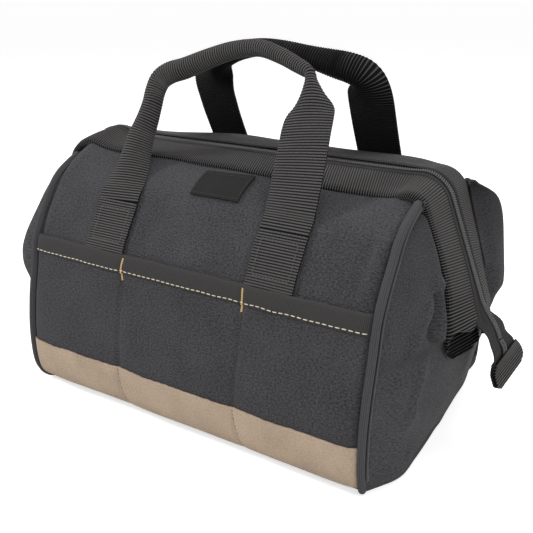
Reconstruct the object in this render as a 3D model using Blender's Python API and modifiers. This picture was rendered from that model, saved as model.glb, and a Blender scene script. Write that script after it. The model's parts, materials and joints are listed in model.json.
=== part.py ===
"""Zipped wide-mouth tool bag: fabric body, webbing-cased mouth frames and two webbing handles.

The frame is in metres with +Z up. The origin is the middle of the underside, +X runs along the
length of the bag and the pockets with the label face -Y.
"""
import math

import bmesh
import bpy
from mathutils import Vector

# Body
BAG_LENGTH = 0.305            # between the end seams
BASE_WIDTH = 0.203            # between the front and back faces at the floor
FABRIC = 0.0015               # wall fabric with its lining
GAP = 0.0003                  # between pieces that touch
SEAM_EASE = 0.0010            # between curved edges that are sewn together
BASE_THICKNESS = 0.002
BOARD_THICKNESS = 0.003
BOARD_MARGIN = 0.004          # from the board's edge to the walls
PIPING_RADIUS = 0.002
PIPING_BEND = 0.0012
END_BULGE = 0.020             # how far the ends swell past their seams
END_FOOT_SWELL = 0.60         # share of that swell left at the foot

# Wall profile: distance from the middle plane at each height, up to the mouth band
WALL_BELLY = 0.0035           # how far the wall stands out past the base, at its fullest
BELLY_HEIGHT = 0.060
POCKET_HEIGHT = 0.126         # top edge of the outside pockets
POCKET_LINE_INSET = 0.004     # the wall there, in from the base line
STITCH_HEIGHT = 0.161         # the row of stitches where each handle leaves the wall
STITCH_LINE_INSET = 0.0245
SHOULDER_HEIGHT = 0.172       # above this the wall turns in under the mouth band
SHOULDER_INSET = 0.0365

# Outside pockets
POCKET_DEPTH = 0.0085         # how far a pocket stands off the wall in its middle
POCKET_FABRIC = 0.0012
POCKET_FOOT = 0.004           # height of the pockets' lower seam
POCKET_KNEE = 0.018           # below this the pockets turn in to their seam
POCKET_FULL = 0.35            # share of their height above which the pockets stand off fully
DIVIDER_X = 0.0545            # the two seams between the three pockets
BINDING_HEIGHT = 0.012
TAN_FOOT = 0.007
TAN_TOP = 0.039
TRIM = 0.001                  # thickness of binding and tan strip

# Mouth: the zip line runs along the top, round two corners and down both ends
ZIP_HEIGHT = 0.197
ZIP_STRAIGHT = 0.136          # half of the straight top
CORNER_RADIUS = 0.026
ARM_LEAN = math.radians(21)   # the arms lean outwards, from upright
ARM_FOOT = 0.083              # height of the arms' lower ends
TOP_TILT = math.radians(16)   # slope of the band away from the zip, along the top
CORNER_TILT = math.radians(5)
ARM_TILT = math.radians(14)
CORNER_STEPS = 5
ARM_STEPS = 3
TOP_STEPS = 4

# Webbing, zip and frame wire
WEBBING_WIDTH = 0.038
WEBBING = 0.0014
BAND_START = 0.007            # from the zip line to the band
WIRE_RADIUS = 0.0016
WIRE_PLAY = 0.0012            # between the wire and the webbing folded round it
TAPE = 0.0008
TAPE_PLAY = 0.0006            # between the tape and the band round it
TAPE_REACH = 0.014            # from the zip line to the tape's hidden edge
LINING_REACH = 0.018          # from the zip line to where the lining leaves the tape
CHAIN_GAP = 0.0012            # between the two halves of the zip chain
CHAIN_WIDTH = 0.0023
CHAIN_HEIGHT = 0.0026
TAIL_THICKNESS = 0.001
TAIL_GAP = 0.0006             # lets the tail swing under the arms' ends
TAIL_LENGTH = 0.020
TAIL_HALF_WIDTH = 0.015
TAB_LENGTH = 0.020
TAB_OVERLAP = 0.008
TAB_HALF_WIDTH = 0.0165

# Upper part of the ends
GUSSET_REACH = 0.9            # share of an arm's height that the upper gussets are sewn to
GUSSET_LIFT = 0.003           # from the pockets' top edge to the upper gussets
GUSSET_DROP = 0.014           # from the wall's top edge down to the upper gussets' top
GUSSET_SWELL = 0.010

# Jaw hinges
HINGE_OFFSET = 0.019          # each jaw turns about a line this far from the middle plane
HINGE_HEIGHT = 0.082

# Handles
STRAP_X = 0.073
STRAP_WEBBING = 0.0018
STRAP_LIFT = 0.002            # from the pockets' top edge to the straps' lower ends
HANDLE_LEAN = math.radians(28.5)
HANDLE_RISE = 0.127           # along the lean, from the stitch row to the middle of the grip
GRIP_HALF = 0.062
GRIP_SAG = 0.020
GRIP_OPENING = 0.12           # share of the tube left open under the grip
CORE_CLEARANCE = 0.0006
STRAP_STEPS_ACROSS = 8

# Zip slider and pull
SLIDER_X = -0.118
SLIDER_HALF_LENGTH = 0.0065
SLIDER_HALF_WIDTH = 0.0045
SLIDER_PLATE = 0.0014
SLIDER_CLEARANCE = 0.0009
POST_THICKNESS = 0.0006
POST_LENGTH = 0.003
BRIDGE_WIDTH = 0.0016
BRIDGE_HALF_LENGTH = 0.004
BRIDGE_HEIGHT = 0.0036
BRIDGE_BAR = 0.001
PULL_LENGTH = 0.026
PULL_HALF_WIDTH = 0.0045
PULL_THICKNESS = 0.0014
PULL_NECK = 0.0052            # from the pull's crossbar to its blade
PULL_ARM = 0.0012
PULL_BAR = 0.0006             # half thickness of the pull's crossbar
PULL_SINK = 0.9               # the arms are this share of the crossbar's thickness

# Label
LABEL_X = 0.009
LABEL_HALF_LENGTH = 0.024
LABEL_LOW = 0.1635
LABEL_HIGH = 0.1770
LABEL_THICKNESS = 0.0008

PIVOT_SIZE = 0.01

CLOTH_GREY = (0.030, 0.030, 0.034)
WEB_BLACK = (0.020, 0.020, 0.021)
TAN = (0.38, 0.31, 0.24)
COIL_GREY = (0.035, 0.035, 0.037)
STEEL = (0.45, 0.45, 0.46)
BOARD_GREY = (0.10, 0.10, 0.10)

FRONT, BACK = -1, 1
LEFT, RIGHT = -1, 1


def clear_scene():
    for old in list(bpy.data.objects):
        bpy.data.objects.remove(old, do_unlink=True)


def new_collection(name):
    made = bpy.data.collections.new(name)
    bpy.context.scene.collection.children.link(made)
    return made


def material(name, colour, roughness=0.9, metallic=0.0):
    made = bpy.data.materials.new(name)
    made.use_nodes = True
    shader = made.node_tree.nodes["Principled BSDF"]
    shader.inputs["Base Color"].default_value = (*colour, 1.0)
    shader.inputs["Roughness"].default_value = roughness
    shader.inputs["Metallic"].default_value = metallic
    return made


def add_object(name, data, colour, roughness=0.9, metallic=0.0):
    made = bpy.data.objects.new(name, data)
    BAG.objects.link(made)
    data.materials.append(material(name, colour, roughness, metallic))
    return made


def sheet(name, columns, rows, place, thickness, colour, side=0.0, roughness=0.9, metallic=0.0):
    """Model a piece of cloth: a grid whose corner (i, j) lies at place(i, j), given a thickness."""
    mesh = bpy.data.meshes.new(name)
    grid = bmesh.new()
    bmesh.ops.create_grid(grid, x_segments=columns, y_segments=rows, size=0.5)
    for corner in grid.verts:
        i = round((corner.co.x + 0.5) * columns)
        j = round((corner.co.y + 0.5) * rows)
        corner.co = place(i, j)
    grid.to_mesh(mesh)
    grid.free()
    mesh.shade_smooth()
    made = add_object(name, mesh, colour, roughness, metallic)
    wall = made.modifiers.new("Thickness", "SOLIDIFY")
    wall.thickness = thickness
    wall.offset = side
    wall.use_even_offset = True
    return made


def tube(name, points, radius, colour, resolution=2, roughness=0.9, metallic=0.0):
    """Model a round wire or cord through the points."""
    curve = bpy.data.curves.new(name, "CURVE")
    curve.dimensions = "3D"
    curve.bevel_depth = radius
    curve.bevel_resolution = resolution
    curve.use_fill_caps = True
    line = curve.splines.new("POLY")
    line.points.add(len(points) - 1)
    for spot, point in zip(line.points, points):
        spot.co = (*point, 1.0)
    return add_object(name, curve, colour, roughness, metallic)


def add_box(shape, low, high):
    """Add a box between two corners to a bmesh."""
    low, high = Vector(low), Vector(high)
    made = bmesh.ops.create_cube(shape, size=1.0)
    for corner in made["verts"]:
        corner.co = [middle + share * size for middle, share, size
                     in zip((low + high) / 2, corner.co, high - low)]


def block(name, low, high, colour, roughness=0.9, metallic=0.0):
    mesh = bpy.data.meshes.new(name)
    shape = bmesh.new()
    add_box(shape, low, high)
    shape.to_mesh(mesh)
    shape.free()
    return add_object(name, mesh, colour, roughness, metallic)


def smooth_line(points):
    """Return a function of the first coordinate that runs smoothly through the points."""
    slopes = []
    for n in range(len(points)):
        before = points[max(n - 1, 0)]
        after = points[min(n + 1, len(points) - 1)]
        slopes.append((after[1] - before[1]) / (after[0] - before[0]))

    def value(at):
        n = 0
        while n < len(points) - 2 and at > points[n + 1][0]:
            n += 1
        (a, start), (b, end) = points[n], points[n + 1]
        span = b - a
        t = (at - a) / span
        return ((2 * t**3 - 3 * t**2 + 1) * start + (t**3 - 2 * t**2 + t) * span * slopes[n]
                + (3 * t**2 - 2 * t**3) * end + (t**3 - t**2) * span * slopes[n + 1])
    return value


def spread(low, high, steps):
    return [low + (high - low) * n / steps for n in range(steps + 1)]


def mix(a, b, share):
    return a + (b - a) * share


def end_name(end):
    return "left" if end == LEFT else "right"


def side_name(side):
    return "front" if side == FRONT else "back"


# The zip line as stations: x, z, turn of its outward normal from upright, and slope of the band

def zip_stations():
    half = []
    corner_turn = math.pi / 2 - ARM_LEAN
    for n in range(CORNER_STEPS + 1):
        share = n / CORNER_STEPS
        turn = corner_turn * share
        x = ZIP_STRAIGHT + CORNER_RADIUS * math.sin(turn)
        z = ZIP_HEIGHT - CORNER_RADIUS * (1 - math.cos(turn))
        half.append((x, z, turn, mix(TOP_TILT, CORNER_TILT, math.sin(share * math.pi / 2))))
    x_arm, z_arm = half[-1][:2]
    arm_length = (z_arm - ARM_FOOT) / math.cos(ARM_LEAN)
    for n in range(1, ARM_STEPS + 1):
        share = n / ARM_STEPS
        half.append((x_arm + share * arm_length * math.sin(ARM_LEAN),
                     z_arm - share * arm_length * math.cos(ARM_LEAN),
                     corner_turn, mix(CORNER_TILT, ARM_TILT, share)))
    top = [(x, ZIP_HEIGHT, 0.0, TOP_TILT)
           for x in spread(-ZIP_STRAIGHT, ZIP_STRAIGHT, TOP_STEPS)[1:-1]]
    left = [(-x, z, -turn, tilt) for x, z, turn, tilt in reversed(half)]
    return left + top + half


STATIONS = zip_stations()


def jaw_point(side, station, across, depth, tilted=True):
    """A point of a jaw: across from the zip line, and depth out from the band's face."""
    x, z, turn, tilt = station
    if not tilted:
        tilt = 0.0
    out = Vector((math.sin(turn), 0, math.cos(turn)))
    sideways = Vector((0, side, 0))
    along = sideways * math.cos(tilt) - out * math.sin(tilt)
    normal = out * math.cos(tilt) + sideways * math.sin(tilt)
    return Vector((x, 0, z)) + along * across + normal * depth


# The folded edge of the band goes round the frame wire
FOLD_RADIUS = WIRE_RADIUS + WIRE_PLAY + WEBBING / 2
FOLD_ACROSS = BAND_START + WEBBING_WIDTH - FOLD_RADIUS - WEBBING / 2
FOLD_DEPTH = -WEBBING / 2 - FOLD_RADIUS
TAPE_DEPTH = -WEBBING - TAPE_PLAY - TAPE / 2
LINING_DEPTH = TAPE_DEPTH - TAPE / 2 - TAPE_PLAY - WEBBING / 2
SEAM_REACH = FOLD_RADIUS + WEBBING / 2 + GAP   # from the fold's middle to what is sewn to it

# The wall meets the fold along this line
WALL_SLOPE_AT_BAND = math.radians(22)
CORNER_EASE = 0.0028          # the fold comes this much nearer to the wall at the corners
fold_middle = jaw_point(FRONT, (0, ZIP_HEIGHT, 0.0, TOP_TILT), FOLD_ACROSS, FOLD_DEPTH)
WALL_TOP_Y = -fold_middle.y + (SEAM_REACH + CORNER_EASE) * math.cos(WALL_SLOPE_AT_BAND)
WALL_TOP_Z = fold_middle.z - (SEAM_REACH + CORNER_EASE) * math.sin(WALL_SLOPE_AT_BAND)

wall_reach = smooth_line([
    (0.0, BASE_WIDTH / 2),
    (BELLY_HEIGHT, BASE_WIDTH / 2 + WALL_BELLY),
    (POCKET_HEIGHT, BASE_WIDTH / 2 - POCKET_LINE_INSET),
    (STITCH_HEIGHT, BASE_WIDTH / 2 - STITCH_LINE_INSET),
    (SHOULDER_HEIGHT, BASE_WIDTH / 2 - SHOULDER_INSET),
    (WALL_TOP_Z, WALL_TOP_Y),
])

SEAM_X = BAG_LENGTH / 2
WALL_HALF = SEAM_X - PIPING_RADIUS - GAP          # half the walls' length, up to the piping
WALL_FOOT = BASE_THICKNESS + GAP


def wall_normal(z):
    """Outward direction of a wall at a height, as parts along the side and up."""
    step = 0.001
    slope = (wall_reach(z + step) - wall_reach(z - step)) / (2 * step)
    return Vector((1.0, -slope)).normalized()


def wall_point(side, x, z, out=0.0):
    """A point out from a wall's face."""
    away = wall_normal(z)
    return Vector((x, side * (wall_reach(z) + away.x * out), z + away.y * out))


def wall_sheet(name, side, low, high, half, out, thickness, colour, rows, columns=2, middle=0.0):
    """Model cloth that follows a wall, its middle surface out from the wall's face."""
    xs = spread(middle - half, middle + half, columns)
    zs = spread(low, high, rows)
    return sheet(name, columns, rows, lambda i, j: wall_point(side, xs[i], zs[j], out),
                 thickness, colour)


# Pieces of the body

def make_base():
    half = BASE_WIDTH / 2 + POCKET_FABRIC + GAP
    block("base_fabric", (-WALL_HALF, -half, 0), (WALL_HALF, half, BASE_THICKNESS), CLOTH_GREY)
    inner_x = WALL_HALF - BOARD_MARGIN
    inner_y = BASE_WIDTH / 2 - FABRIC - BOARD_MARGIN
    block("base_board", (-inner_x, -inner_y, WALL_FOOT),
          (inner_x, inner_y, WALL_FOOT + BOARD_THICKNESS), BOARD_GREY, 0.6)


def pocket_rows():
    """Heights at which the wall and the pockets on it bend together."""
    return ([POCKET_FOOT] + spread(POCKET_KNEE, POCKET_HEIGHT - BINDING_HEIGHT, 4)
            + [POCKET_HEIGHT])


def make_lower_wall(side):
    zs = [WALL_FOOT] + pocket_rows()
    xs = (-WALL_HALF, WALL_HALF)
    sheet(side_name(side) + "_lower_panel", 1, len(zs) - 1,
          lambda i, j: wall_point(side, xs[i], zs[j], -FABRIC / 2), FABRIC, CLOTH_GREY)


def make_upper_wall(side):
    name = side_name(side)
    wall_sheet(name + "_upper_panel", side, POCKET_HEIGHT + GAP, WALL_TOP_Z, WALL_HALF,
               -FABRIC / 2, FABRIC, CLOTH_GREY, rows=5)


def pocket_swell(x, share):
    """How far a pocket stands off at x; share is its height from foot to mouth."""
    if abs(x) <= DIVIDER_X:
        across = math.cos(x / DIVIDER_X * math.pi / 2)
    else:
        middle = (WALL_HALF + DIVIDER_X) / 2
        across = math.cos((abs(x) - middle) / (WALL_HALF - DIVIDER_X) * math.pi)
    upward = math.sin(min(share / POCKET_FULL, 1.0) * math.pi / 2)
    return POCKET_DEPTH * math.sqrt(max(across, 0.0)) * upward


def pocket_point(side, x, z, out=0.0):
    """A point out from the pockets' face."""
    share = (z - POCKET_FOOT) / (POCKET_HEIGHT - POCKET_FOOT)
    stand = 2 * GAP + pocket_swell(x, share) + POCKET_FABRIC
    return wall_point(side, x, z, 0) + Vector((0, side * (stand + out), 0))


def pocket_columns():
    edge = spread(DIVIDER_X, WALL_HALF, 8)
    middle = spread(-DIVIDER_X, DIVIDER_X, 8)
    return [-x for x in reversed(edge)] + middle[1:-1] + edge


def make_pockets(side):
    name = side_name(side)
    xs = pocket_columns()
    zs = pocket_rows()

    def panel(i, j):
        return pocket_point(side, xs[i], zs[j], -POCKET_FABRIC / 2)
    sheet(name + "_pocket_panel", len(xs) - 1, len(zs) - 1, panel, POCKET_FABRIC, CLOTH_GREY)

    trim_out = GAP + TRIM / 2

    def binding(i, j):
        z = POCKET_HEIGHT - BINDING_HEIGHT * (1 - j)
        return pocket_point(side, xs[i], z, trim_out)
    sheet(name + "_pocket_binding", len(xs) - 1, 1, binding, TRIM, WEB_BLACK)

    def strip(i, j):
        z = (TAN_FOOT, POCKET_KNEE, TAN_TOP)[j]
        return pocket_point(side, xs[i], z, trim_out + GAP)
    sheet(name + "_tan_band", len(xs) - 1, 2, strip, TRIM, TAN)


def gusset_x(y, z):
    """Outer face of an end at a place, from the middle of the bag."""
    reach = wall_reach(min(z, POCKET_HEIGHT))
    across = max(1 - (y / reach) ** 2, 0.0)
    upward = mix(END_FOOT_SWELL, 1.0, min(z / BELLY_HEIGHT, 1.0))
    return SEAM_X + END_BULGE * across * upward


def gusset_top(y):
    """Height of the lower gusset's top edge: down to the arms' ends in the middle."""
    inner, outer = BAND_START + WEBBING_WIDTH, wall_reach(POCKET_HEIGHT)
    share = min(max((abs(y) - inner) / (outer - inner), 0.0), 1.0)
    return mix(ARM_FOOT, POCKET_HEIGHT, share)


GUSSET_FOOT = BASE_THICKNESS + 2 * PIPING_RADIUS + 2 * GAP


def make_lower_gusset(end):
    rows = 6
    across = spread(-1, 1, 12)

    def place(i, j):
        share = j / rows
        z = mix(GUSSET_FOOT, gusset_top(across[i] * wall_reach(POCKET_HEIGHT)), share)
        edge = wall_reach(z) - PIPING_RADIUS - FABRIC / 2 - SEAM_EASE
        y = across[i] * edge
        z = mix(GUSSET_FOOT, gusset_top(y), share)
        return Vector((end * (gusset_x(y, z) - FABRIC / 2), y, z))
    sheet(end_name(end) + "_lower_gusset", 12, rows, place, FABRIC, CLOTH_GREY)


def piping_point(side, end, z):
    return wall_point(side, end * SEAM_X, z, -FABRIC / 2)


def make_lower_piping(end):
    """The welt round an end: up the front seam, under the end and up the back seam."""
    foot = BASE_THICKNESS + GAP + PIPING_RADIUS
    heights = spread(foot + PIPING_BEND, POCKET_HEIGHT, 8)
    turn = wall_reach(foot) - FABRIC / 2 - PIPING_BEND
    points = [piping_point(FRONT, end, z) for z in reversed(heights)]
    points += [Vector((end * SEAM_X, y, foot)) for y in (-turn, 0.0, turn)]
    points += [piping_point(BACK, end, z) for z in heights]
    tube(end_name(end) + "_piping", points, PIPING_RADIUS, WEB_BLACK, resolution=1)


def make_upper_piping(side, end):
    top = WALL_TOP_Z - PIPING_RADIUS
    points = [piping_point(side, end, z)
              for z in spread(POCKET_HEIGHT + PIPING_RADIUS + GAP, top, 4)]
    tube(side_name(side) + "_" + end_name(end) + "_upper_piping", points, PIPING_RADIUS,
         WEB_BLACK, resolution=1)


def end_stations(end):
    """The stations of one arm and its corner, from the arm's foot up."""
    count = ARM_STEPS + CORNER_STEPS
    return STATIONS[:count] if end == LEFT else list(reversed(STATIONS[-count:]))


def make_half_gusset(side, end):
    """The upper part of an end on one side, from the piping to the folded edge of the arm."""
    arm = end_stations(end)
    rows = 4
    columns = 3
    low = POCKET_HEIGHT + GUSSET_LIFT
    high = WALL_TOP_Z - GUSSET_DROP

    def place(i, j):
        z = mix(low, high, j / rows)
        seam = wall_point(side, end * (SEAM_X + GAP), z, -PIPING_RADIUS - FABRIC - SEAM_EASE)
        step = GUSSET_REACH * ARM_STEPS * j / rows
        low_end, up_end = (jaw_point(side, arm[n], FOLD_ACROSS + SEAM_REACH + FABRIC / 2,
                                     FOLD_DEPTH) for n in (int(step), int(step) + 1))
        fold = low_end.lerp(up_end, step - int(step))
        share = i / columns
        swell = Vector((end * GUSSET_SWELL * math.sin(share * math.pi) * (1 - j / rows), 0, 0))
        return seam.lerp(fold, share) + swell
    name = side_name(side) + "_" + end_name(end) + "_upper_gusset"
    sheet(name, columns, rows, place, FABRIC, CLOTH_GREY)


# Pieces of the mouth

def band_section():
    """Webbing folded lengthwise round the wire, from its face at the zip to its back there."""
    section = [(BAND_START, -WEBBING / 2), (FOLD_ACROSS, -WEBBING / 2)]
    for n in range(1, 4):
        turn = math.pi / 2 - n * math.pi / 4
        section.append((FOLD_ACROSS + FOLD_RADIUS * math.cos(turn),
                        FOLD_DEPTH + FOLD_RADIUS * math.sin(turn)))
    section += [(FOLD_ACROSS, FOLD_DEPTH - FOLD_RADIUS), (LINING_REACH, LINING_DEPTH),
                (BAND_START, LINING_DEPTH)]
    return section


def make_mouth_band(side):
    section = band_section()

    def place(i, j):
        return jaw_point(side, STATIONS[j], *section[i])
    sheet(side_name(side) + "_mouth_band", len(section) - 1, len(STATIONS) - 1, place,
          WEBBING, WEB_BLACK)


def make_frame_wire(side):
    points = [jaw_point(side, station, FOLD_ACROSS, FOLD_DEPTH) for station in STATIONS]
    tube(side_name(side) + "_frame_wire", points, WIRE_RADIUS, STEEL, 1, 0.4, 1.0)


CHAIN_OUTER = CHAIN_GAP / 2 + CHAIN_WIDTH
CHAIN_DEPTH = TAPE_DEPTH - CHAIN_OUTER * math.sin(TOP_TILT)


def tape_point(side, station, i):
    """The tape runs from the chain to the band's edge, and inside the band along its slope."""
    if i == 0:
        return jaw_point(side, station, CHAIN_OUTER + TAPE_PLAY, CHAIN_DEPTH, tilted=False)
    return jaw_point(side, station, (BAND_START, TAPE_REACH)[i - 1], TAPE_DEPTH)


def make_zip(side):
    name = side_name(side)
    last = len(STATIONS) - 1
    sheet(name + "_zip_tape", 2, last, lambda i, j: tape_point(side, STATIONS[j], i),
          TAPE, WEB_BLACK)
    edges = (CHAIN_GAP / 2, CHAIN_OUTER)
    sheet(name + "_zip_chain", 1, last,
          lambda i, j: jaw_point(side, STATIONS[j], edges[i], CHAIN_DEPTH, tilted=False),
          CHAIN_HEIGHT, COIL_GREY, roughness=0.5)


def tail_point(end, y, below, out):
    """A point on the zip's tail, below the arms' ends along their line."""
    x, z, turn, tilt = end_stations(end)[0]
    down = Vector((end * math.sin(ARM_LEAN), 0, -math.cos(ARM_LEAN)))
    face = Vector((math.sin(turn), 0, math.cos(turn)))
    return Vector((x, y, z)) + down * below + face * out


def make_tail(end):
    name = end_name(end)
    lengths = (TAIL_GAP, TAIL_GAP + TAIL_LENGTH)
    widths = (-TAIL_HALF_WIDTH, TAIL_HALF_WIDTH)
    sheet(name + "_zip_tail", 1, 1,
          lambda i, j: tail_point(end, widths[i], lengths[j], CHAIN_DEPTH), TAIL_THICKNESS,
          COIL_GREY)
    tab_widths = (-TAB_HALF_WIDTH, TAB_HALF_WIDTH)
    top = TAIL_LENGTH - TAB_OVERLAP
    fold = TAIL_THICKNESS / 2 + GAP + WEBBING / 2
    section = [(top, fold), (top + TAB_LENGTH - fold, fold), (top + TAB_LENGTH, 0.0),
               (top + TAB_LENGTH - fold, -fold), (top, -fold)]
    sheet(name + "_zip_tab", 1, len(section) - 1,
          lambda i, j: tail_point(end, tab_widths[i], section[j][0], section[j][1] + CHAIN_DEPTH),
          WEBBING, WEB_BLACK)


# Pieces of the handles, in their own leaning plane: x and height from the stitch row

HANDLE_PATH = [
    (STRAP_X, 0.0), (STRAP_X, 0.030), (STRAP_X, 0.058), (STRAP_X - 0.001, 0.076),
    (STRAP_X - 0.003, 0.092), (GRIP_HALF, HANDLE_RISE - GRIP_SAG),
]
CURL = (0.0, 0.0, 0.12, 0.55, 0.95, 1.0)
TUBE_RADIUS = WEBBING_WIDTH / (2 * math.pi * (1 - GRIP_OPENING))
PIVOT_OUT = GAP + STRAP_WEBBING / 2


def handle_line():
    """The path of the strap from its right foot over the grip to its left foot, with its curl."""
    arc_radius = (GRIP_HALF**2 + GRIP_SAG**2) / (2 * GRIP_SAG)
    half = [(x, h, curl) for (x, h), curl in zip(HANDLE_PATH, CURL)]
    span = math.asin(GRIP_HALF / arc_radius)
    for share in (0.72, 0.46, 0.22):
        turn = span * share
        half.append((arc_radius * math.sin(turn),
                     HANDLE_RISE - arc_radius * (1 - math.cos(turn)), 1.0))
    middle = [(0.0, HANDLE_RISE, 1.0)]
    return half + middle + [(-x, h, curl) for x, h, curl in reversed(half)]


def handle_frame(side):
    """The foot of a handle, its direction up the lean and its outward normal."""
    foot = wall_point(side, 0, STITCH_HEIGHT, PIVOT_OUT)
    up = Vector((0, -side * math.sin(HANDLE_LEAN), math.cos(HANDLE_LEAN)))
    out = Vector((0, side * math.cos(HANDLE_LEAN), math.sin(HANDLE_LEAN)))
    return foot, up, out


def handle_point(side, line, n, share):
    """A point across the strap at step n; share runs from -1 to 1 over its width."""
    foot, up, out = handle_frame(side)
    x, h, curl = line[n]
    before, after = line[max(n - 1, 0)], line[min(n + 1, len(line) - 1)]
    along = Vector((after[0] - before[0], after[1] - before[1])).normalized()
    width = Vector((along.y, -along.x))
    turn = max(curl, 0.01) * math.pi * (1 - GRIP_OPENING)
    radius = WEBBING_WIDTH / 2 / turn
    sideways = radius * math.sin(turn * share)
    outward = radius * (math.cos(turn * share) - 1) + curl * TUBE_RADIUS
    flat = Vector((x, h)) + width * sideways
    return foot + Vector((flat.x, 0, 0)) + up * flat.y + out * outward


def make_handle(side):
    name = side_name(side)
    line = handle_line()
    shares = spread(-1, 1, STRAP_STEPS_ACROSS)
    sheet(name + "_handle_strap", STRAP_STEPS_ACROSS, len(line) - 1,
          lambda i, j: handle_point(side, line, j, shares[i]), STRAP_WEBBING, WEB_BLACK)

    foot, up, out = handle_frame(side)
    core = [foot + Vector((x, 0, 0)) + up * h for x, h, curl in line if curl == 1.0]
    tube(name + "_grip_core", core, TUBE_RADIUS - STRAP_WEBBING / 2 - CORE_CLEARANCE,
         BOARD_GREY, resolution=1)
    for end in (LEFT, RIGHT):
        wall_sheet(name + "_" + end_name(end) + "_strap_foot", side, POCKET_HEIGHT + STRAP_LIFT,
                   STITCH_HEIGHT - STRAP_WEBBING, WEBBING_WIDTH / 2, PIVOT_OUT,
                   STRAP_WEBBING, WEB_BLACK, rows=3, columns=1, middle=end * STRAP_X)


# Slider, pull and label

CHAIN_TOP = ZIP_HEIGHT + CHAIN_DEPTH + CHAIN_HEIGHT / 2
CHAIN_BOTTOM = ZIP_HEIGHT + CHAIN_DEPTH - CHAIN_HEIGHT / 2
PLATE_LOW = CHAIN_TOP + SLIDER_CLEARANCE
BRIDGE_LOW = PLATE_LOW + SLIDER_PLATE
CROSSBAR_HEIGHT = BRIDGE_LOW + (BRIDGE_HEIGHT - BRIDGE_BAR) / 2


def join_boxes(name, boxes, colour, roughness, metallic):
    """Model one solid from boxes that share volume."""
    whole = block(name, *boxes[0], colour, roughness, metallic)
    for n, (low, high) in enumerate(boxes[1:]):
        tool = block(name + "_piece_" + str(n), low, high, colour)
        BAG.objects.unlink(tool)
        GUIDES.objects.link(tool)
        tool.parent = whole
        tool.hide_render = True
        tool.display_type = "WIRE"
        union = whole.modifiers.new("Join", "BOOLEAN")
        union.operation = "UNION"
        union.object = tool
    return whole


def make_slider():
    length, width = SLIDER_HALF_LENGTH, SLIDER_HALF_WIDTH
    under = CHAIN_BOTTOM - SLIDER_CLEARANCE
    post_x = SLIDER_X + length
    top = BRIDGE_LOW + BRIDGE_HEIGHT
    half = BRIDGE_WIDTH / 2
    sink = SLIDER_PLATE / 2
    boxes = [
        ((SLIDER_X - length, -width, PLATE_LOW), (SLIDER_X + length, width, BRIDGE_LOW)),
        ((SLIDER_X - length, -width, under - SLIDER_PLATE), (SLIDER_X + length, width, under)),
        ((post_x - POST_LENGTH, -POST_THICKNESS / 2, under - sink),
         (post_x - sink, POST_THICKNESS / 2, PLATE_LOW + sink)),
        ((SLIDER_X - BRIDGE_HALF_LENGTH, -half, top - BRIDGE_BAR),
         (SLIDER_X + BRIDGE_HALF_LENGTH, half, top)),
    ]
    for way in (-1, 1):
        near = SLIDER_X + way * BRIDGE_HALF_LENGTH
        far = near - way * BRIDGE_BAR
        boxes.append(((min(near, far), -half, BRIDGE_LOW - sink),
                      (max(near, far), half, top - BRIDGE_BAR / 2)))
    join_boxes("zip_slider", boxes, WEB_BLACK, 0.4, 0.0)


def make_pull():
    z = CROSSBAR_HEIGHT
    thick = PULL_THICKNESS / 2
    bar = PULL_BAR
    inner = BRIDGE_WIDTH / 2 + 2 * GAP
    outer = inner + PULL_ARM
    blade = SLIDER_X - PULL_NECK
    boxes = [
        ((blade - PULL_LENGTH + PULL_NECK, -PULL_HALF_WIDTH, z - thick),
         (blade, PULL_HALF_WIDTH, z + thick)),
        ((SLIDER_X - bar, -outer, z - bar), (SLIDER_X + bar, outer, z + bar)),
    ]
    for way in (-1, 1):
        low_y, high_y = sorted((way * inner, way * (outer + GAP)))
        boxes.append(((blade - bar, low_y, z - bar * PULL_SINK),
                      (SLIDER_X + bar * PULL_SINK, high_y, z + bar * PULL_SINK)))
    join_boxes("zip_pull", boxes, WEB_BLACK, 0.4, 0.0)


def make_label():
    wall_sheet("label_patch", FRONT, LABEL_LOW, LABEL_HIGH, LABEL_HALF_LENGTH,
               SEAM_EASE / 2 + LABEL_THICKNESS / 2, LABEL_THICKNESS, WEB_BLACK, rows=3,
               columns=1, middle=LABEL_X)


# Joints: an empty stands on each axis and carries what moves there

def add_pivot(name, place, parent=None):
    pivot = bpy.data.objects.new(name, None)
    pivot.location = place
    pivot.empty_display_size = PIVOT_SIZE
    BAG.objects.link(pivot)
    if parent:
        carry(parent, [pivot])
    return pivot


def carry(pivot, children):
    """Parent objects to an empty and leave them where they are."""
    bpy.context.view_layer.update()
    for child in children:
        child.parent = pivot
        child.matrix_parent_inverse = pivot.matrix_world.inverted()


def pieces(*names):
    return [bpy.data.objects[name] for name in names]


def make_jaw_pivots(side):
    """The jaw turns about a line along the bag, and its handle about the stitch row on it."""
    name = side_name(side) + "_"
    jaw = add_pivot(name + "jaw_axis", (0, side * HINGE_OFFSET, HINGE_HEIGHT))
    carry(jaw, pieces(name + "mouth_band", name + "frame_wire", name + "zip_tape",
                      name + "zip_chain", name + "upper_panel"))
    for end in ("left_", "right_"):
        carry(jaw, pieces(name + end + "upper_gusset", name + end + "upper_piping",
                          name + end + "strap_foot"))
    foot, up, out = handle_frame(side)
    handle = add_pivot(name + "handle_axis", foot, jaw)
    carry(handle, pieces(name + "handle_strap", name + "grip_core"))
    return jaw


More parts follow.
